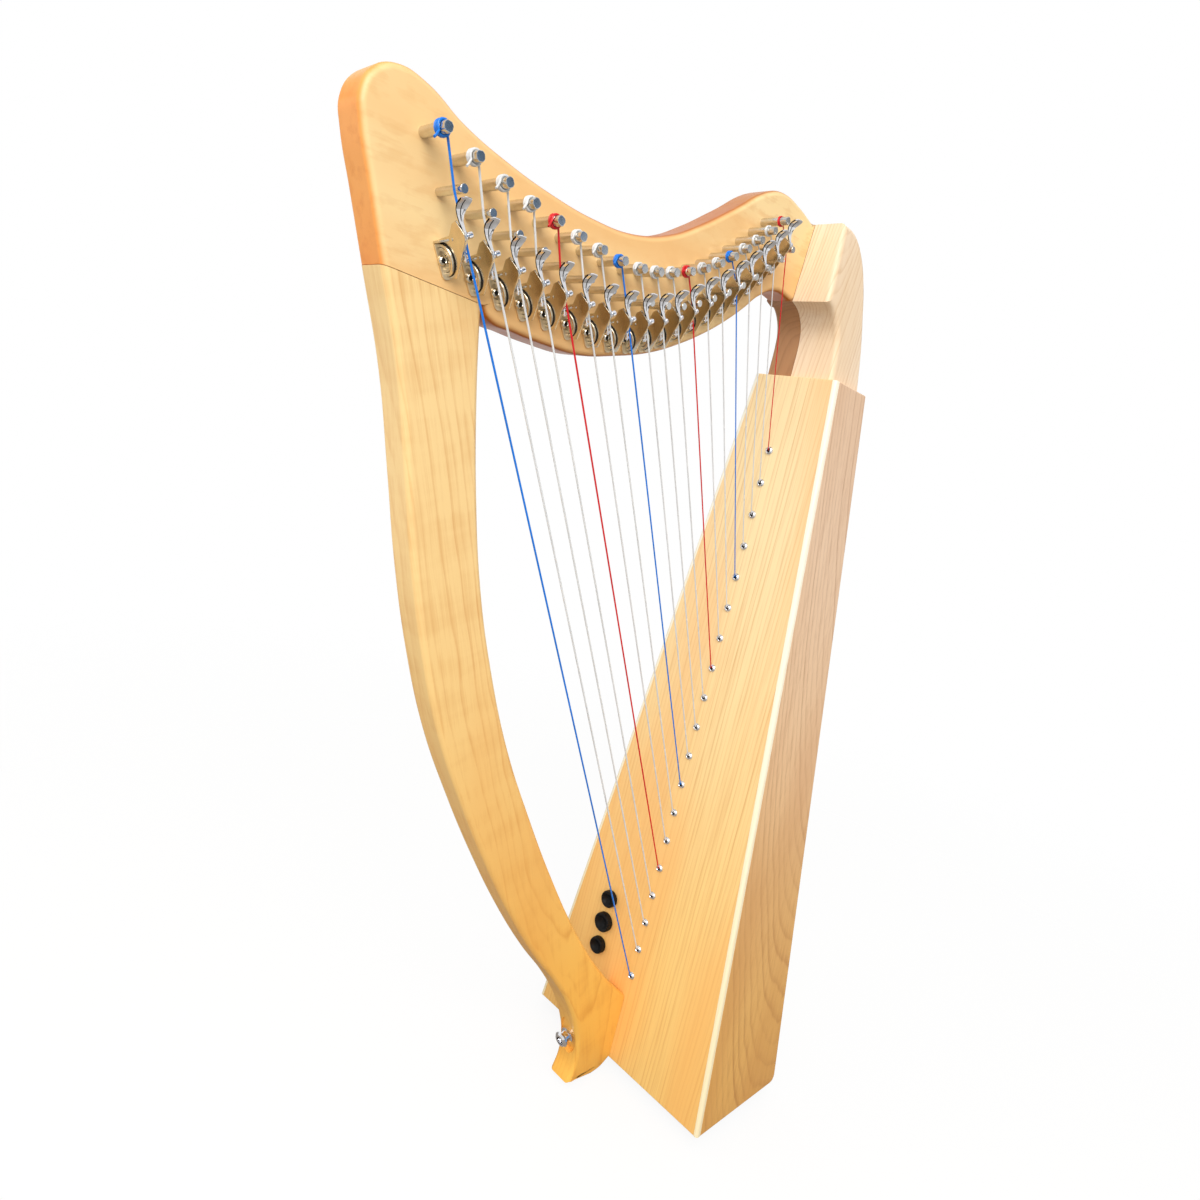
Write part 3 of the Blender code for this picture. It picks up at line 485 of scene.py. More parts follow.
def plank(outline, corners, y0, y1):
    """A flat curve drawn through (depth, height) points in millimetres, as thick as y0 to y1.
    Points listed in corners stay sharp."""
    data = bpy.data.curves.new("outline", "CURVE")
    data.dimensions, data.fill_mode = "2D", "BOTH"
    data.extrude = (y1 - y0) / 2
    data.resolution_u = 7
    spline = data.splines.new("BEZIER")
    spline.bezier_points.add(len(outline) - 1)
    spline.use_cyclic_u = True
    for p, (depth, height) in zip(spline.bezier_points, outline):
        p.co = (FRONT + depth / 1000, height / 1000, 0)
        kind = "VECTOR" if (depth, height) in corners else "AUTO"
        p.handle_left_type = p.handle_right_type = kind
    mesh = mesh_of(stand("outline", data))
    mesh.transform(Matrix.Translation((0, (y0 + y1) / 2, 0))
                   @ Matrix.Rotation(math.pi / 2, 4, "X"))
    bm = bmesh.new()
    bm.from_mesh(mesh)
    bmesh.ops.remove_doubles(bm, verts=bm.verts, dist=1e-6)
    bmesh.ops.recalc_face_normals(bm, faces=bm.faces)
    flat = [e for e in bm.edges if len(e.link_faces) == 2
            and all(abs(f.normal.y) > 0.99 for f in e.link_faces)]
    bmesh.ops.dissolve_edges(bm, edges=flat, use_verts=False)
    return bm


def on_rim(y, *keep):
    """Chooses the rim at one face of a plank, but not along the seams in keep."""
    return lambda mid, run: (abs(mid.y - y) < 1e-5 and abs(run.y) < 0.1
                             and not any(seam(mid) for seam in keep))


COLUMN = [(-280.5, 549.7), (-272, 508), (-259, 456), (-243, 405), (-223, 357), (-196, 304),
          (-163, 252), (-125, 197), (-86, 146), (-45, 100), (-12, 70), (-0.3, 61), (-0.3, -1),
          (-9, -6.5), (-20, -8.5), (-49, -5), (-45.5, 10), (-48.5, 30), (-56.5, 50),
          (-70, 73), (-92, 101), (-123, 134), (-157, 175), (-190, 220), (-222, 268),
          (-250, 315), (-272, 363), (-290, 412), (-304, 458), (-319, 506), (-337, 549.7)]
bm = plank(COLUMN, [(-280.5, 549.7), (-0.3, 61), (-0.3, -1), (-20, -8.5), (-49, -5),
                    (-337, 549.7)], PLANK_NEAR, PLANK_FAR)
at_top = lambda p: p.z > 0.5490
at_board = lambda p: p.x > FRONT - 0.0006
for y in (PLANK_NEAR, PLANK_FAR):
    ease(bm, on_rim(y, at_top, at_board), PLANK_ROUND, 5)
column_wood = wood("column_wood", (255, 219, 154), (222, 160, 90), (-0.36, 0, 0.93),
                   (0.93, 0, 0.36), (-0.080, -0.085), -0.11, ring=0.0042, line=0.48,
                   wander=0.0130, fibre=0.24, cloud=0.6, cloud_colour=(250, 198, 128),
                   low=(255, 228, 152), wave=(45, 14),
                   edge=(-PLANK_MID, PLANK_HALF, (255, 205, 130), 0.0, (255, 205, 130)),
                   curl=0.16)
pocket = bmesh.new()
bmesh.ops.create_cone(pocket, cap_ends=True, segments=48, radius1=1.0, radius2=1.0, depth=1.0,
                      matrix=Matrix.Translation(POCKET_AT)
                      @ Vector(POCKET_AIM).to_track_quat("Z", "Y").to_matrix().to_4x4()
                      @ Matrix.Diagonal(POCKET_SIZE + (1,))
                      @ Matrix.Translation((0, 0, POCKET_RISE)))
bm = bored(bm, [pocket])
set_in("column_plank", bm, column_wood, stands_for=["column"])


# Shoulder: two blocks glued side by side between the box and the neck, a brown maple core
# in line with the neck and a pale cheek on its near side, then carved to one round arch.
# The core's brown is partly the maple's own and partly painted shade, as the arch under the
# neck lies in shadow.
CROWN = [(48.3, 587.3), (48.3, 589), (43, 617), (36, 641), (28, 663), (17, 680), (3, 690)]
ARCH = [(-9, 632.5), (-2.1, 626.7), (2.4, 618.9), (4, 610), (4.3, 595), (4.3, 587)]
TENON = [(4.3, 547), (48.1, 547), (43.7, 587.3)]
core_line = TENON + CROWN + [(-14.7, 691.5), (-18.7, 636)] + ARCH
corners = TENON + CROWN[:2] + [(-14.7, 691.5), (-18.7, 636)] + ARCH[-2:]
CHEEK_SAWN, CHEEK_ROUND = -0.030, 0.0040
in_box = lambda p: p.z < HEIGHT + 0.0025
bm = plank(core_line, corners, PLANK_NEAR + GAP / 2, PLANK_FAR)
ease(bm, on_rim(PLANK_FAR, in_box, lambda p: p.x < FRONT - 0.012), PLANK_ROUND, 5)
# Its brown is partly the maple's own and partly painted shade of the arch under the neck.
core_wood_and_shade = wood("core_wood_and_shade", (184, 134, 90), (132, 86, 54), UP, SIDEWAYS, (0.0, 0.06), 0.05,
                 ring=0.003, line=0.4, cloud=0.4, cloud_colour=(166, 116, 76))
set_in("core_block", bm, core_wood_and_shade, stands_for=["shoulder_core"])

bm = plank(core_line, corners, CHEEK_SAWN, PLANK_NEAR - GAP / 2)
for v in bm.verts:
    if v.co.y < CHEEK_SAWN / 2:
        v.co.y = near(v.co.z) + SIDE + GAP
bmesh.ops.bisect_plane(bm, geom=bm.verts[:] + bm.edges[:] + bm.faces[:], dist=1e-6,
                       plane_co=(0, 0, HEIGHT + GAP), plane_no=UP)
ease(bm, lambda mid, run: mid.z > HEIGHT + 0.001 and mid.y < CHEEK_SAWN / 2 and abs(run.y) < 0.6
     and abs(mid.y - (near(mid.z) + SIDE + GAP)) < 1e-4, CHEEK_ROUND, 6)
cheek_wood = wood("cheek_wood", (253, 230, 202), (216, 172, 124), UP, DEEP, (-0.075, 0.075), 0.10,
                  ring=0.0026, line=0.8, wander=0.0045, fibre=0.30, cloud=0.5,
                  cloud_colour=(244, 210, 164))
set_in("cheek_block", bm, cheek_wood, stands_for=["shoulder_cheek"])


# Neck: sawn from a maple plank to a long double curve, its edges rounded, and glued between
# column and shoulder. On the harp it is bored for the tuning pins right through; here the
# pins are set into the solid plank.
SEAM = 550.0
NECK = [(-280.5, SEAM), (-275, 544.5), (-256, 543), (-233, 543), (-209, 544.5), (-180, 552),
        (-151, 562), (-126, 574.5), (-107, 586), (-90, 598), (-72, 613), (-57, 627),
        (-40, 636), (-19, 636), (-15, 691), (-36, 695), (-57, 696), (-73, 691), (-107, 665.5),
        (-133, 646), (-158, 630.5), (-188, 619.5), (-220, 615.5), (-250, 615.5),
        (-280, 618), (-309, 623), (-330, 630), (-345, 630.5), (-356, 624), (-360.5, 612),
        (-358, 601), (-349, 579), (-337, SEAM)]
bm = plank(NECK, [(-280.5, SEAM), (-19, 636), (-15, 691), (-337, SEAM)], PLANK_NEAR, PLANK_FAR)
at_seam = lambda p: p.z < SEAM / 1000 + 1e-4 and p.x < FRONT - 0.2805
at_block = lambda p: p.x > FRONT - 0.0192
for y in (PLANK_NEAR, PLANK_FAR):
    ease(bm, on_rim(y, at_seam, at_block), PLANK_ROUND, 5)
# The neck's rim colour is partly its darker edge grain and partly painted shade on the underside
# and the top rim, where less light falls; its front end has the orange of end grain.
neck_wood = wood("neck_wood", (255, 224, 164), (220, 158, 90), (0.995, 0, 0.10),
                 (-0.10, 0, 0.995), (0.55, -0.035), 0.03, ring=0.0060, line=0.10, wander=0.014,
                 fibre=0.16, cloud=0.9, cloud_colour=(248, 194, 126),
                 edge=(-PLANK_MID, PLANK_HALF, (190, 134, 62), -0.322, (255, 201, 148)),
                 curl=0.26, wave=(70, 150))
set_in("neck_plank", bm, neck_wood, stands_for=["neck"])


# Tuning pins: one steel rod for each string, driven through the neck. The outer end is
# ground to four flats for the tuning key, and the string is wound just behind it.
COUNT = 19
TUNING_R, TUNING_OUT, TUNING_IN = 0.0026, 0.0203, 0.0164
ROD_OUT = 0.0166
HEAD_LONG, FLAT_OUT, HEAD_EASED = 0.0040, 0.0024, 0.00045


def metal(name, colour, rough, scratch=0.06):
    """Plated steel, with faint hair scratches and handling marks in its shine."""
    m, tree, shader, place = fresh(name)
    marks = put(tree, "TexNoise", {"Vector": place, "Scale": 260.0, "Detail": 3.0})
    fine = put(tree, "TexNoise", {"Vector": place, "Scale": 2600.0, "Detail": 1.0})
    wire(shader, {"Base Color": tint(tree, marks, paint(*colour),
                                     paint(*(c * 0.88 for c in colour))),
                  "Roughness": calc(tree, "MULTIPLY_ADD", marks, 0.16, rough), "Metallic": 1.0,
                  "Normal": put(tree, "Bump", {"Strength": scratch, "Distance": 0.0001,
                                               "Height": fine})})
    return m


steel = metal("pin_steel", (226, 222, 214), 0.14)


def turned(profile, steps, origin=(0, 0, 0), axis=UP):
    """Turns a profile of (radius, height) into a solid about an axis."""
    bm = bmesh.new()
    row = [bm.verts.new((r, 0, h)) for r, h in profile]
    line = [bm.edges.new(pair) for pair in zip(row, row[1:])]
    bmesh.ops.spin(bm, geom=row + line, cent=(0, 0, 0), axis=(0, 0, 1), angle=2 * math.pi,
                   steps=steps, use_merge=True)
    bmesh.ops.remove_doubles(bm, verts=bm.verts, dist=1e-6)
    bmesh.ops.transform(bm, verts=bm.verts, matrix=Matrix.Translation(origin)
                        @ Vector(axis).to_track_quat("Z", "X").to_matrix().to_4x4())
    return bm


def join(bm, *others):
    """Adds the shells of other pieces to a piece."""
    for other in others:
        mesh = shell(other)
        bm.from_mesh(mesh)
        bpy.data.meshes.remove(mesh)
    return bm


def tuning(i):
    """Where a tuning pin goes into the near face of the neck."""
    low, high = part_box("tuning_pin_%02d" % (i + 1))
    return Vector(((low.x + high.x) / 2, PLANK_NEAR, (low.z + high.z) / 2))


for i in range(COUNT):
    rod = turned([(0, ROD_OUT), (TUNING_R, ROD_OUT), (TUNING_R, 0.0006 - TUNING_IN),
                  (TUNING_R - 0.0005, -TUNING_IN), (0, -TUNING_IN)], 24)
    head = bmesh.new()
    bmesh.ops.create_cone(head, cap_ends=True, segments=24, radius1=TUNING_R, radius2=TUNING_R,
                          depth=HEAD_LONG,
                          matrix=Matrix.Translation((0, 0, TUNING_OUT - HEAD_LONG / 2)))
    for k in range(4):
        turn = math.radians(90 * k + 17 * i)
        flat = Vector((math.cos(turn), math.sin(turn), 0))
        cut = bmesh.ops.bisect_plane(head, geom=head.verts[:] + head.edges[:] + head.faces[:],
                                     dist=1e-7, plane_co=flat * FLAT_OUT, plane_no=flat,
                                     clear_outer=True)
        bmesh.ops.holes_fill(head, edges=[g for g in cut["geom_cut"]
                                          if isinstance(g, bmesh.types.BMEdge)])
    ease(head, lambda mid, run: mid.z > TUNING_OUT - 0.0001, HEAD_EASED, 2)
    bm = join(rod, head)
    bmesh.ops.transform(bm, verts=bm.verts, matrix=Matrix.Translation(tuning(i))
                        @ Matrix.Rotation(math.pi / 2, 4, "X"))
    name = "tuning_pin_%02d" % (i + 1)
    set_in(name + "_steel", bm, steel, body=name, stands_for=[name])


# Bridge pins: a plain steel pin under each tuning pin, with a groove that the string runs
# in, pressed into the neck.
STAND = 0.0170
BRIDGE_R, BRIDGE_OUT = 0.0020, 0.0208
GROOVE = 0.0004
EYELET_LOW, EYELET_STEP = 0.0800, 0.0250


def eyelet(i):
    """Where a string comes out of the soundboard."""
    return Vector((FRONT, 0, EYELET_LOW + EYELET_STEP * i))


def through(points):
    """Every other pin stands at a (depth, height) point in millimetres, the rest between."""
    p = [Vector(q) for q in points]
    p = [2 * p[0] - p[1]] + p + [2 * p[-1] - p[-2]]
    row = []
    for k in range(1, len(p) - 1):
        row += [p[k], (9 * (p[k] + p[k + 1]) - p[k - 1] - p[min(k + 2, len(p) - 1)]) / 16]
    return [Vector((FRONT + q.x / 1000, PLANK_NEAR, q.y / 1000)) for q in row[:-1]]


BRIDGES = through([(-316.5, 589.1), (-282.1, 582.4), (-248.6, 579.8), (-214.5, 579.0),
                   (-183.0, 582.4), (-155.8, 589.0), (-130.2, 602.0), (-105.3, 618.2),
                   (-83.3, 636.6), (-62.6, 655.7)])


for i in range(COUNT):
    bm = turned([(0, -0.004), (BRIDGE_R, -0.004), (BRIDGE_R, STAND - 0.0010),
                 (BRIDGE_R - GROOVE, STAND - GROOVE), (BRIDGE_R - GROOVE, STAND + GROOVE),
                 (BRIDGE_R, STAND + 0.0010), (BRIDGE_R + 0.0001, BRIDGE_OUT - 0.0002),
                 (BRIDGE_R - 0.0001, BRIDGE_OUT), (0, BRIDGE_OUT)], 24, BRIDGES[i], (0, -1, 0))
    set_in("bridge_pin_%02d" % (i + 1), bm, steel)


# Lever brackets: pressed from nickel-plated sheet, a leaf screwed flat to the neck, an arch
# over the screw, and an upright flange with an ear that carries the lever's rivet.
BASS_R, TREBLE_R = 0.00062, 0.00036
FRET_SHARE, PIVOT_BACK, PIVOT_RISE = 0.048, 0.0103, 0.0032
SHIFT, SHIFT_AT, SHIFT_WIDE = 0.0030, 7.5, 2.6
SCREW_S, SCREW_E = 9.2, -5.3
RING_UP, RING_FOOT = 1.1, 0.6
STRING_CLEAR, DOME_OUT = 0.00045, 0.0017


def string_r(i):
    return BASS_R + (TREBLE_R - BASS_R) * i / (COUNT - 1)


def string_top(i):
    """Where a string lies against its bridge pin."""
    b, e = BRIDGES[i], eyelet(i)
    run = Vector((e.x - b.x, 0, e.z - b.z)).normalized()
    p = b - Vector((-run.z, 0, run.x)) * (BRIDGE_R + string_r(i) + STRING_CLEAR)
    p.y = PLANK_NEAR - STAND
    return p


def string_foot(i):
    return eyelet(i) - Vector((DOME_OUT, 0, 0))


def lever_frame(i):
    """Matrix with its origin at the lever's rivet: down the string, to the treble, outward."""
    a, b = string_top(i), string_foot(i)
    s = (b - a).normalized()
    e = Vector((-s.z, 0, s.x)).normalized()
    o = s.cross(e)
    m = Matrix((s, e, o)).transposed().to_4x4()
    down = (FRET_SHARE * (b - a).length - PIVOT_BACK
            + SHIFT * math.exp(-((i - SHIFT_AT) / SHIFT_WIDE) ** 2))
    m.translation = a + s * down + o * PIVOT_RISE
    return m


def bracket_frame(i):
    """The same, but flat on the neck's face."""
    a, b = string_top(i), eyelet(i)
    s = Vector((b.x - a.x, 0, b.z - a.z)).normalized()
    m = Matrix((s, Vector((-s.z, 0, s.x)), Vector((0, -1, 0)))).transposed().to_4x4()
    rivet = lever_frame(i).translation
    m.translation = a + s * (rivet - a).dot(s)
    m.translation.y = PLANK_NEAR
    return m


def cut_sheet(outline, thick, across):
    """A flat outline extruded through a thickness; across turns (a, b, t) into a place."""
    bm = bmesh.new()
    face = bm.faces.new([bm.verts.new(across(a, b, 0)) for a, b in outline])
    out = bmesh.ops.extrude_face_region(bm, geom=[face])
    moved = [g for g in out["geom"] if isinstance(g, bmesh.types.BMVert)]
    bmesh.ops.translate(bm, verts=moved, vec=across(0, 0, thick) - across(0, 0, 0))
    return bm


def half_ring(outer, inner, start, thick):
    """A half ring in millimetres, standing over the screw; start and thick run along e."""
    turns = [math.pi * k / 24 for k in range(25)]
    outline = [(outer * math.cos(w), RING_UP + outer * math.sin(w)) for w in turns]
    outline += [(-outer, RING_FOOT), (-inner, RING_FOOT)]
    outline += [(inner * math.cos(w), RING_UP + inner * math.sin(w)) for w in turns[::-1]]
    outline += [(inner, RING_FOOT), (outer, RING_FOOT)]
    return cut_sheet(outline, thick,
                     lambda a, b, t: Vector((SCREW_S + a, start + t, b)) / 1000)


def small(profile, steps, place, turn=Matrix()):
    """A turned piece drawn in millimetres, and put in its place in millimetres."""
    bm = turned(profile, steps)
    for v in bm.verts:
        v.co = v.co / 1000
    bmesh.ops.transform(bm, verts=bm.verts,
                        matrix=Matrix.Translation(Vector(place) / 1000) @ turn)
    return bm


def bracket(i):
    """In metres from the rivet's foot: s down the string, e to the treble, o off the neck."""
    top = (PLANK_NEAR - lever_frame(i).translation.y) * 1000
    leaf = cut_sheet([(1.7, -2.4), (1.7, -6.6), (2.1, -7.0), (15.8, -7.0), (17.4, -6.2),
                      (18.0, -4.6), (18.0, -2.4)], 1.1,
                     lambda a, b, t: Vector((a, b, 0.05 + t)) / 1000)
    ease(leaf, lambda mid, run: mid.z > 0.0005, 0.00025, 2)
    flange = cut_sheet([(0.2, 0.1), (17.9, 0.1), (17.9, 6.2), (17.5, 6.9), (2.2, top + 0.5),
                        (0.8, top + 1.2), (-0.9, top + 1.2), (-2.4, top + 0.2), (-6.9, 16.6),
                        (-5.8, 13.2), (-1.0, 8.8)], 1.0,
                       lambda a, b, t: Vector((a, -3.2 + t, b)) / 1000)
    ease(flange, everywhere, 0.00022, 2)
    web = cut_sheet([(-3.0, 8.4), (-4.8, 6.4), (-6.4, 2.6), (-6.9, 0.3), (-3.0, 0.3)], 1.0,
                    lambda a, b, t: Vector((0.3 + t, a, b)) / 1000)
    ease(web, everywhere, 0.0002, 2)
    arch = half_ring(7.4, 5.7, -4.7, 1.3)
    ease(arch, lambda mid, run: mid.y < -0.0046, 0.00045, 3)
    inner_arch = half_ring(5.5, 3.9, -4.55, 1.2)
    ease(inner_arch, lambda mid, run: mid.y < -0.0045, 0.0004, 3)
    screw = small([(0, 1.7), (1.15, 1.7), (1.2, 2.8), (1.5, 3.0), (2.1, 2.6), (2.4, 1.9),
                   (2.4, 1.0), (0, 1.0)], 20, (SCREW_S, SCREW_E, 0))
    dot = small([(0, 0.45), (0.5, 0.4), (0.8, 0.1), (0.8, -0.2), (0, -0.2)], 12,
                (0.7, -3.2, 10.7), Matrix.Rotation(math.pi / 2, 4, "X"))
    return leaf, join(flange, web, arch, inner_arch, screw, dot)


def washer_and_socket_shade():
    """The black half ring between the arch and the flange, a fibre washer whose black is also
    painted shade in the gap there, and a dark disc of painted shade in the screw's hex socket.
    """
    bm = half_ring(7.7, 4.4, -3.7, 0.6)
    ease(bm, everywhere, 0.0001, 1)
    return join(bm, small([(0, 2.62), (1.25, 2.62), (1.25, 1.8), (0, 1.8)], 6,
                          (SCREW_S, SCREW_E, 0)))


def plastic(name, colour, rough):
    """Dull moulded plastic or fibre with a fine skin."""
    m, tree, shader, place = fresh(name)
    skin = put(tree, "TexNoise", {"Vector": place, "Scale": 900.0, "Detail": 3.0})
    wire(shader, {"Base Color": tint(tree, skin, paint(*colour),
                                     paint(*(c * 1.5 for c in colour))),
                  "Roughness": calc(tree, "MULTIPLY_ADD", skin, 0.25, rough),
                  "Specular IOR Level": 0.2,
                  "Normal": put(tree, "Bump", {"Strength": 0.2, "Distance": 0.0002,
                                               "Height": skin})})
    return m


sheet_nickel = metal("sheet_nickel", (232, 222, 202), 0.10, 0.10)
satin_nickel = metal("satin_nickel", (240, 220, 186), 0.30, 0.10)
# Black of the washer, which also paints the shade between arch and flange and in the screws'
# sockets.
black_fibre_and_shade = plastic("black_fibre_and_shade", (24, 23, 22), 0.35)
for i in range(COUNT):
    leaf, bent = bracket(i)
    for name, bm, finish, slot in (("lever_leaf", leaf, satin_nickel, "nickel"),
                                   ("lever_bracket", bent, sheet_nickel, "nickel"),
                                   ("lever_washer", washer_and_socket_shade(), black_fibre_and_shade, "black")):
        bmesh.ops.transform(bm, verts=bm.verts, matrix=bracket_frame(i))
        set_in("%s_%02d" % (name, i + 1), bm, finish)


# Levers: a pressed and polished steel arm on each rivet, with a curled spoon for the thumb
# above and two small rods below that shorten the string when the arm is flipped.
FORK_S, FORK_E, FORK_HALF = 9.0, -4.82, 1.35
DISH = 0.9
LONG_RIVETS = 9                    # the rivets of this many bass levers stand further out
LONG_OUT, SHORT_OUT = 2.1, 0.6
# Stations in millimetres from the rivet, from the fork to the end of the spoon, each with
# its near edge, its far edge and its thickness.
STATIONS = [((11.2, -4.82, -1.9), (11.2, -4.82, -1.0), 1.9),
            ((6.8, -4.62, -1.9), (6.8, -4.62, -1.0), 2.1),
            ((3.1, -2.2, -1.9), (3.1, -2.2, -1.0), 2.0), ((0, 0, -1.9), (0, 0, -1.0), 2.4),
            ((-3.4, -0.7, -2.1), (-3.2, 0, -1.0), 1.4),
            ((-6.0, -1.3, -2.2), (-6.2, 0.1, -0.9), 1.2),
            ((-8.8, -1.7, -2.2), (-8.6, 0.7, -0.2), 1.2),
            ((-11.6, -1.5, -2.2), (-10.6, 1.8, 0.9), 1.3),
            ((-13.9, 0.2, -2.0), (-12.4, 3.7, 1.9), 1.3),
            ((-15.3, 2.5, -1.3), (-13.5, 5.0, 2.3), 1.2),
            ((-15.8, 3.9, -0.1), (-14.3, 5.6, 2.3), 1.0)]


def station(k):
    """The two edges of a station, and half its thickness as a direction."""
    a, b = STATIONS[max(k - 1, 0)], STATIONS[min(k + 1, len(STATIONS) - 1)]
    run = Vector(b[0]) - Vector(a[0]) + Vector(b[1]) - Vector(a[1])
    p, q = Vector(STATIONS[k][0]), Vector(STATIONS[k][1])
    return p, q, run.cross(q - p).normalized() * STATIONS[k][2] / 2


def arm(out):
    """The pressed arm with its rivet, out millimetres high, and its two rods."""
    bm = bmesh.new()
    last = None
    for k in range(len(STATIONS)):
        p, q, up = station(k)
        dish = DISH * min(1.0, max(0.0, (q - p).length - 1.5))
        mid = (p + q) / 2 - up * dish
        ring = [Vector((c.x, c.z, c.y)) for c in (p + up, mid + up, q + up, q - up, mid - up,
                                                  p - up)]
        if last is None:
            last = [bm.verts.new(p) for p in ring]
            cap = bm.faces.new(last)
            continue
        out_geom = bmesh.ops.extrude_face_region(bm, geom=[cap])["geom"]
        cap = [g for g in out_geom if isinstance(g, bmesh.types.BMFace)][0]
        last = [next(e.other_vert(v) for e in v.link_edges if e.other_vert(v) in out_geom)
                for v in last]
        for v, c in zip(last, ring):
            v.co = c
    bmesh.ops.recalc_face_normals(bm, faces=bm.faces)
    crease = bm.edges.layers.float.new("crease_edge")
    for e in bm.edges:
        if e.calc_face_angle(0) > 0.9:
            e[crease] = 0.55
    rough = stand("arm", shell(bm))
    grown = rough.modifiers.new("pressed", "SUBSURF")
    grown.levels = grown.render_levels = 2
    bm = bmesh.new()
    bm.from_mesh(mesh_of(rough))
    rivet = turned([(0, out), (0.9, out - 0.1), (1.5, out - 0.4), (1.6, out - 0.8), (1.6, -0.6),
                    (1.1, -0.8), (1.1, -2.0), (1.9, -2.0), (1.9, -2.3), (1.4, -2.7),
                    (0, -2.8)], 20, axis=SIDEWAYS)
    rods = [turned([(0, 0.9), (0.5, 0.9), (0.7, 0.7), (0.7, -1.9), (0.5, -2.1), (0, -2.1)],
                   14, (FORK_S + d, 0, FORK_E), SIDEWAYS) for d in (-FORK_HALF, FORK_HALF)]
    join(bm, rivet, *rods)
    bmesh.ops.scale(bm, verts=bm.verts, vec=(0.001, 0.001, 0.001))
    return bm


def swept(points, r, per=6):
    """A thin round line through points, closed at both ends."""
    bm = bmesh.new()
    rows = []
    for k, p in enumerate(points):
        run = (points[min(k + 1, len(points) - 1)] - points[max(k - 1, 0)]).normalized()
        side = run.cross(Vector((0.3, 0.5, 0.8))).normalized()
        across = run.cross(side)
        turns = [2 * math.pi * j / per for j in range(per)]
        rows.append([bm.verts.new(p + r * (side * math.cos(w) + across * math.sin(w)))
                     for w in turns])
    for a, b in zip(rows, rows[1:]):
        for j in range(per):
            bm.faces.new((a[j], a[(j + 1) % per], b[(j + 1) % per], b[j]))
    bm.faces.new(rows[0])
    bm.faces.new(rows[-1])
    return bm


def rim_reflection_lines():
    """Two thin dark lines of painted reflection on the spoon's folded rim, one along its edge and
    one inside it.
    """
    lines = []
    for share, r in ((-0.04, 0.42), (0.40, 0.20)):
        points = []
        for k in range(4, len(STATIONS) - 1):
            p, q, up = station(k)
            points.append(p.lerp(q, share) + up * (0.45 if share > 0.1 else 0.0))
        smooth = []
        for a, b in zip(points, points[1:]):
            smooth += [a, a.lerp(b, 0.5)]
        smooth.append(points[-1])
        for _ in range(2):
            smooth = ([smooth[0]] + [(a + b * 2 + c) / 4 for a, b, c in
                                     zip(smooth, smooth[1:], smooth[2:])] + [smooth[-1]])
        lines.append(swept([Vector((c.x, c.z, c.y)) / 1000 for c in smooth], r / 1000))
    return join(*lines)


chrome = metal("chrome", (250, 250, 252), 0.03, 0.04)
# Dark finish for painted reflection and painted shade: the spoons' rim lines and the rings in the
# eyelets' mouths.
painted_shade_and_reflection = metal("painted_shade_and_reflection", (40, 38, 36), 0.30)
for i in range(COUNT):
    name = "lever_%02d" % (i + 1)
    out = LONG_OUT if i < LONG_RIVETS else SHORT_OUT
    for part, bm, finish in (("arm", arm(out), chrome), ("rim_reflection_lines", rim_reflection_lines(), painted_shade_and_reflection)):
        bmesh.ops.transform(bm, verts=bm.verts, matrix=lever_frame(i))
        set_in("%s_%s" % (name, part), bm, finish, body=name,
               stands_for=[name] if part == "arm" else ())


# Eyelets: a small domed bushing of chromed brass for each string, pressed into a hole of the
# soundboard, with a dark ring of painted shade in its mouth where the hole goes down round
# the string.
for i in range(COUNT):
    bm = turned([(0.0013, -0.0010), (0.0014, 0.0014), (0.0018, 0.0019), (0.0023, 0.0017),
                 (0.0030, 0.0010), (0.0034, 0.0003), (0.0034, -0.0002), (0.0022, -0.0010),
                 (0.0013, -0.0010)], 24, eyelet(i), (-1, 0, 0))
    set_in("eyelet_%02d" % (i + 1), bm, chrome)
    # A dark ring of painted shade fills the hole's mouth round the string.
    inner = string_r(i) + 0.0001
    shade_ring = turned([(inner, -0.0008), (inner, 0.0011), (0.0013, 0.0011), (0.0013, -0.0008),
                     (inner, -0.0008)], 16, eyelet(i), (-1, 0, 0))
    set_in("eyelet_throat_%02d" % (i + 1), shade_ring, painted_shade_and_reflection)


# Strings: nylon, knotted behind the rib, up through the eyelet, over the bridge pin and
# wound on the tuning pin with a short tail. Blue and red ones help the player find notes.
KNOT_IN = 0.0073
WIND_OUT, WIND_PITCH, WIND_STEPS = 0.0124, 2.06, 14
BASS_TURNS, TREBLE_TURNS = 2.6, 2.2
FOLLOW_BLUE, FOLLOW_RED, OCTAVE = 0, 4, 7


def nylon(name, colour, clear=0.0):
    """Nylon that has faint cloudy wisps; clear is the share of light that it lets through."""
    m, tree, shader, place = fresh(name)
    wisp = put(tree, "TexNoise", {"Vector": place, "Scale": 40.0, "Detail": 2.0})
    wire(shader, {"Base Color": tint(tree, wisp, paint(*colour),
                                     paint(*(c * 0.85 for c in colour))),
                  "Roughness": calc(tree, "MULTIPLY_ADD", wisp, 0.1, 0.22),
                  "Transmission Weight": clear})
    return m


blue_nylon = nylon("blue_nylon", (6, 132, 244))
red_nylon = nylon("red_nylon", (236, 14, 30))
clear_nylon = nylon("clear_nylon", (254, 255, 255), 0.12)


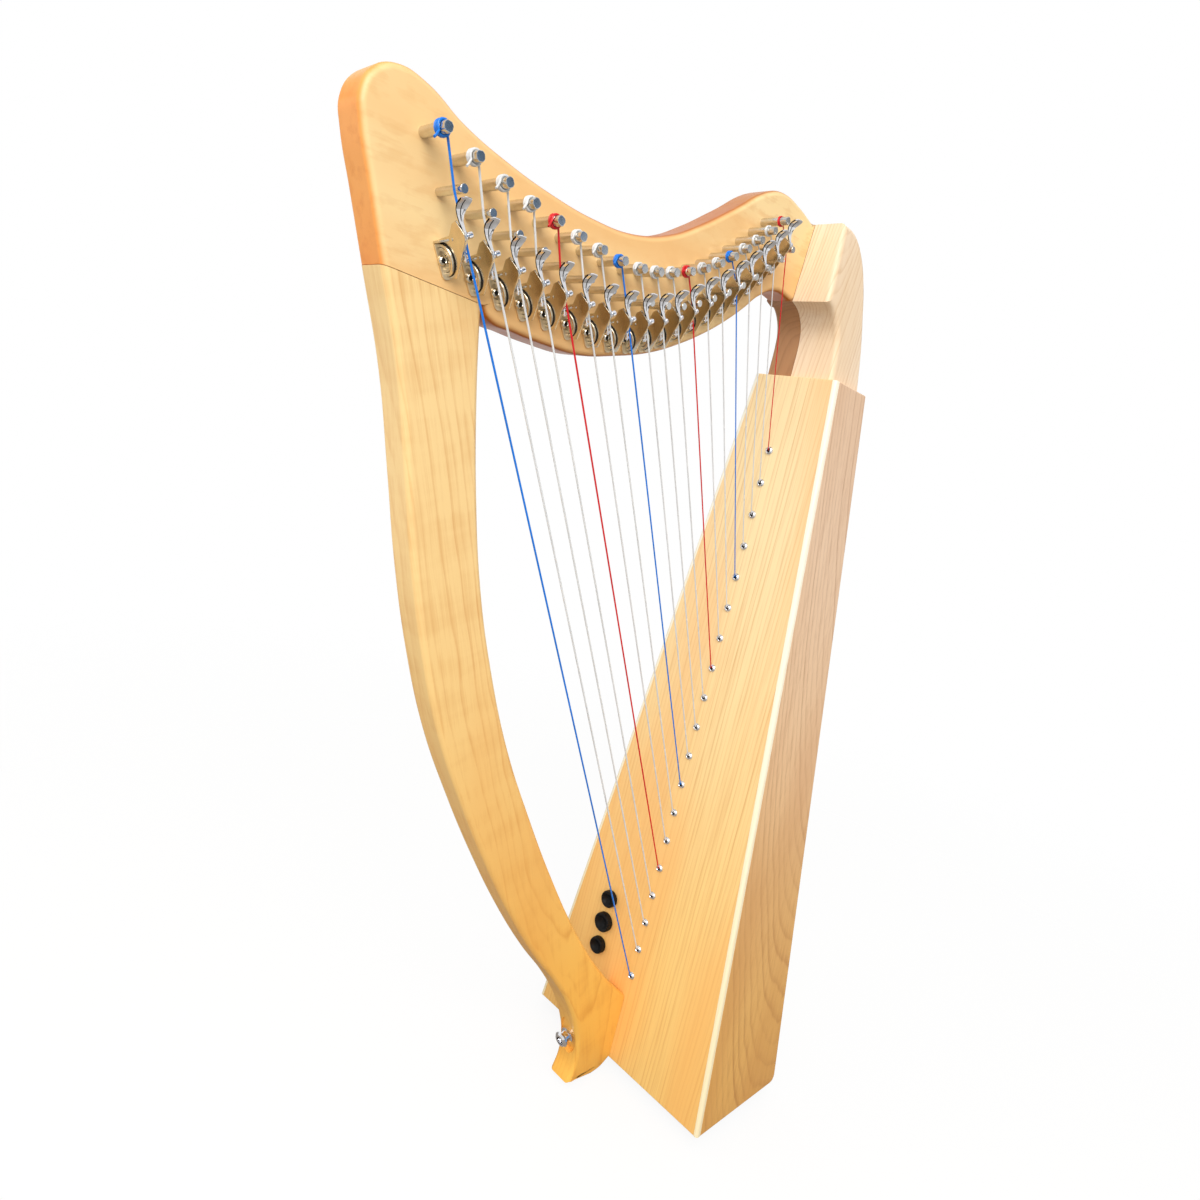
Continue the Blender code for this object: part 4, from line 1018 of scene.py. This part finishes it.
def string_points(i):
    """From the rib to the bridge pin, round the tuning pin a few times, and a short tail."""
    r = string_r(i)
    a, b, t = string_top(i), string_foot(i), tuning(i)
    radius = TUNING_R + 0.00005 + r
    off = Vector((t.x - a.x, t.z - a.z))
    reach = math.sqrt(off.length ** 2 - radius ** 2)
    turn = math.atan2(off.y, off.x) - math.asin(radius / off.length)
    touch = Vector((a.x + reach * math.cos(turn), a.z + reach * math.sin(turn)))
    start = math.atan2(touch.y - t.z, touch.x - t.x)
    points = [eyelet(i) + Vector((KNOT_IN, 0, 0)), eyelet(i), b + (a - b) * 0.004, a]
    turns = BASS_TURNS - (BASS_TURNS - TREBLE_TURNS) * i / (COUNT - 1)
    for k in range(int(WIND_STEPS * turns) + 1):
        w = start + 2 * math.pi * k / WIND_STEPS
        points.append(Vector((t.x + radius * math.cos(w),
                              -WIND_OUT - WIND_PITCH * r * k / WIND_STEPS,
                              t.z + radius * math.sin(w))))
    points.append(points[-1] + Vector((-0.0010, -0.0004, -0.0022)))
    points.append(points[-1] + Vector((-0.0012, -0.0006, -0.0016)))
    return points


for i in range(COUNT):
    data = bpy.data.curves.new("string_%02d" % (i + 1), "CURVE")
    data.dimensions = "3D"
    data.bevel_depth = string_r(i)
    data.bevel_resolution = 3
    data.use_fill_caps = True
    points = string_points(i)
    spline = data.splines.new("POLY")
    spline.points.add(len(points) - 1)
    for p, q in zip(spline.points, points):
        p.co = (*q, 1)
    mesh = mesh_of(stand("drawn", data))
    finish = {FOLLOW_BLUE: blue_nylon, FOLLOW_RED: red_nylon}.get(i % OCTAVE, clear_nylon)
    set_in("string_%02d" % (i + 1), mesh, finish)


# Preamplifier and pickup: a moulded black case screwed behind the soundboard, with three
# ribbed knobs pushed on its shafts in front, and a flat sensor strip glued on the rib.
KNOBS = ((0.1297, 0.0073), (0.1076, 0.0084), (0.0854, 0.0073))     # height and radius
KNOB_SIDE = 0.0400
RIB_STEPS, RIB_DEPTH = 96, 0.00028
black_plastic = plastic("black_plastic", (12, 12, 13), 0.30)
dress("preamp_case", black_plastic)
dress("pickup_strip", metal("pickup_brass", (200, 170, 110), 0.3))
for n, (z, r) in enumerate(KNOBS):
    bm = turned([(0, 0.0034), (r * 0.30, 0.0036), (r * 0.60, 0.0049), (r * 0.76, 0.0063),
                 (r - 0.0011, 0.0065), (r - 0.0004, 0.0061), (r, 0.0054), (r, 0.0012),
                 (r - 0.0004, 0.0008), (0.0030, 0.0008), (0.0030, -0.0042), (0, -0.0042)],
                RIB_STEPS)
    for v in bm.verts:
        turn = round(math.degrees(math.atan2(v.co.y, v.co.x)) * RIB_STEPS / 360)
        if v.co.xy.length > r - 0.0001 and turn % 2:
            v.co.xy *= 1 - RIB_DEPTH / r
    bmesh.ops.transform(bm, verts=bm.verts, matrix=Matrix.Translation((FRONT, KNOB_SIDE, z))
                        @ Matrix.Rotation(-math.pi / 2, 4, "Y"))
    name = "knob_%d" % (n + 1)
    set_in(name + "_cap", bm, black_plastic, body=name, stands_for=[name])


# Jack: a turned and chromed end-pin socket with its washer and nut, screwed into the pocket
# in the column's foot. It is the solid of the CAD as it is.
dress("endpin_jack", chrome)
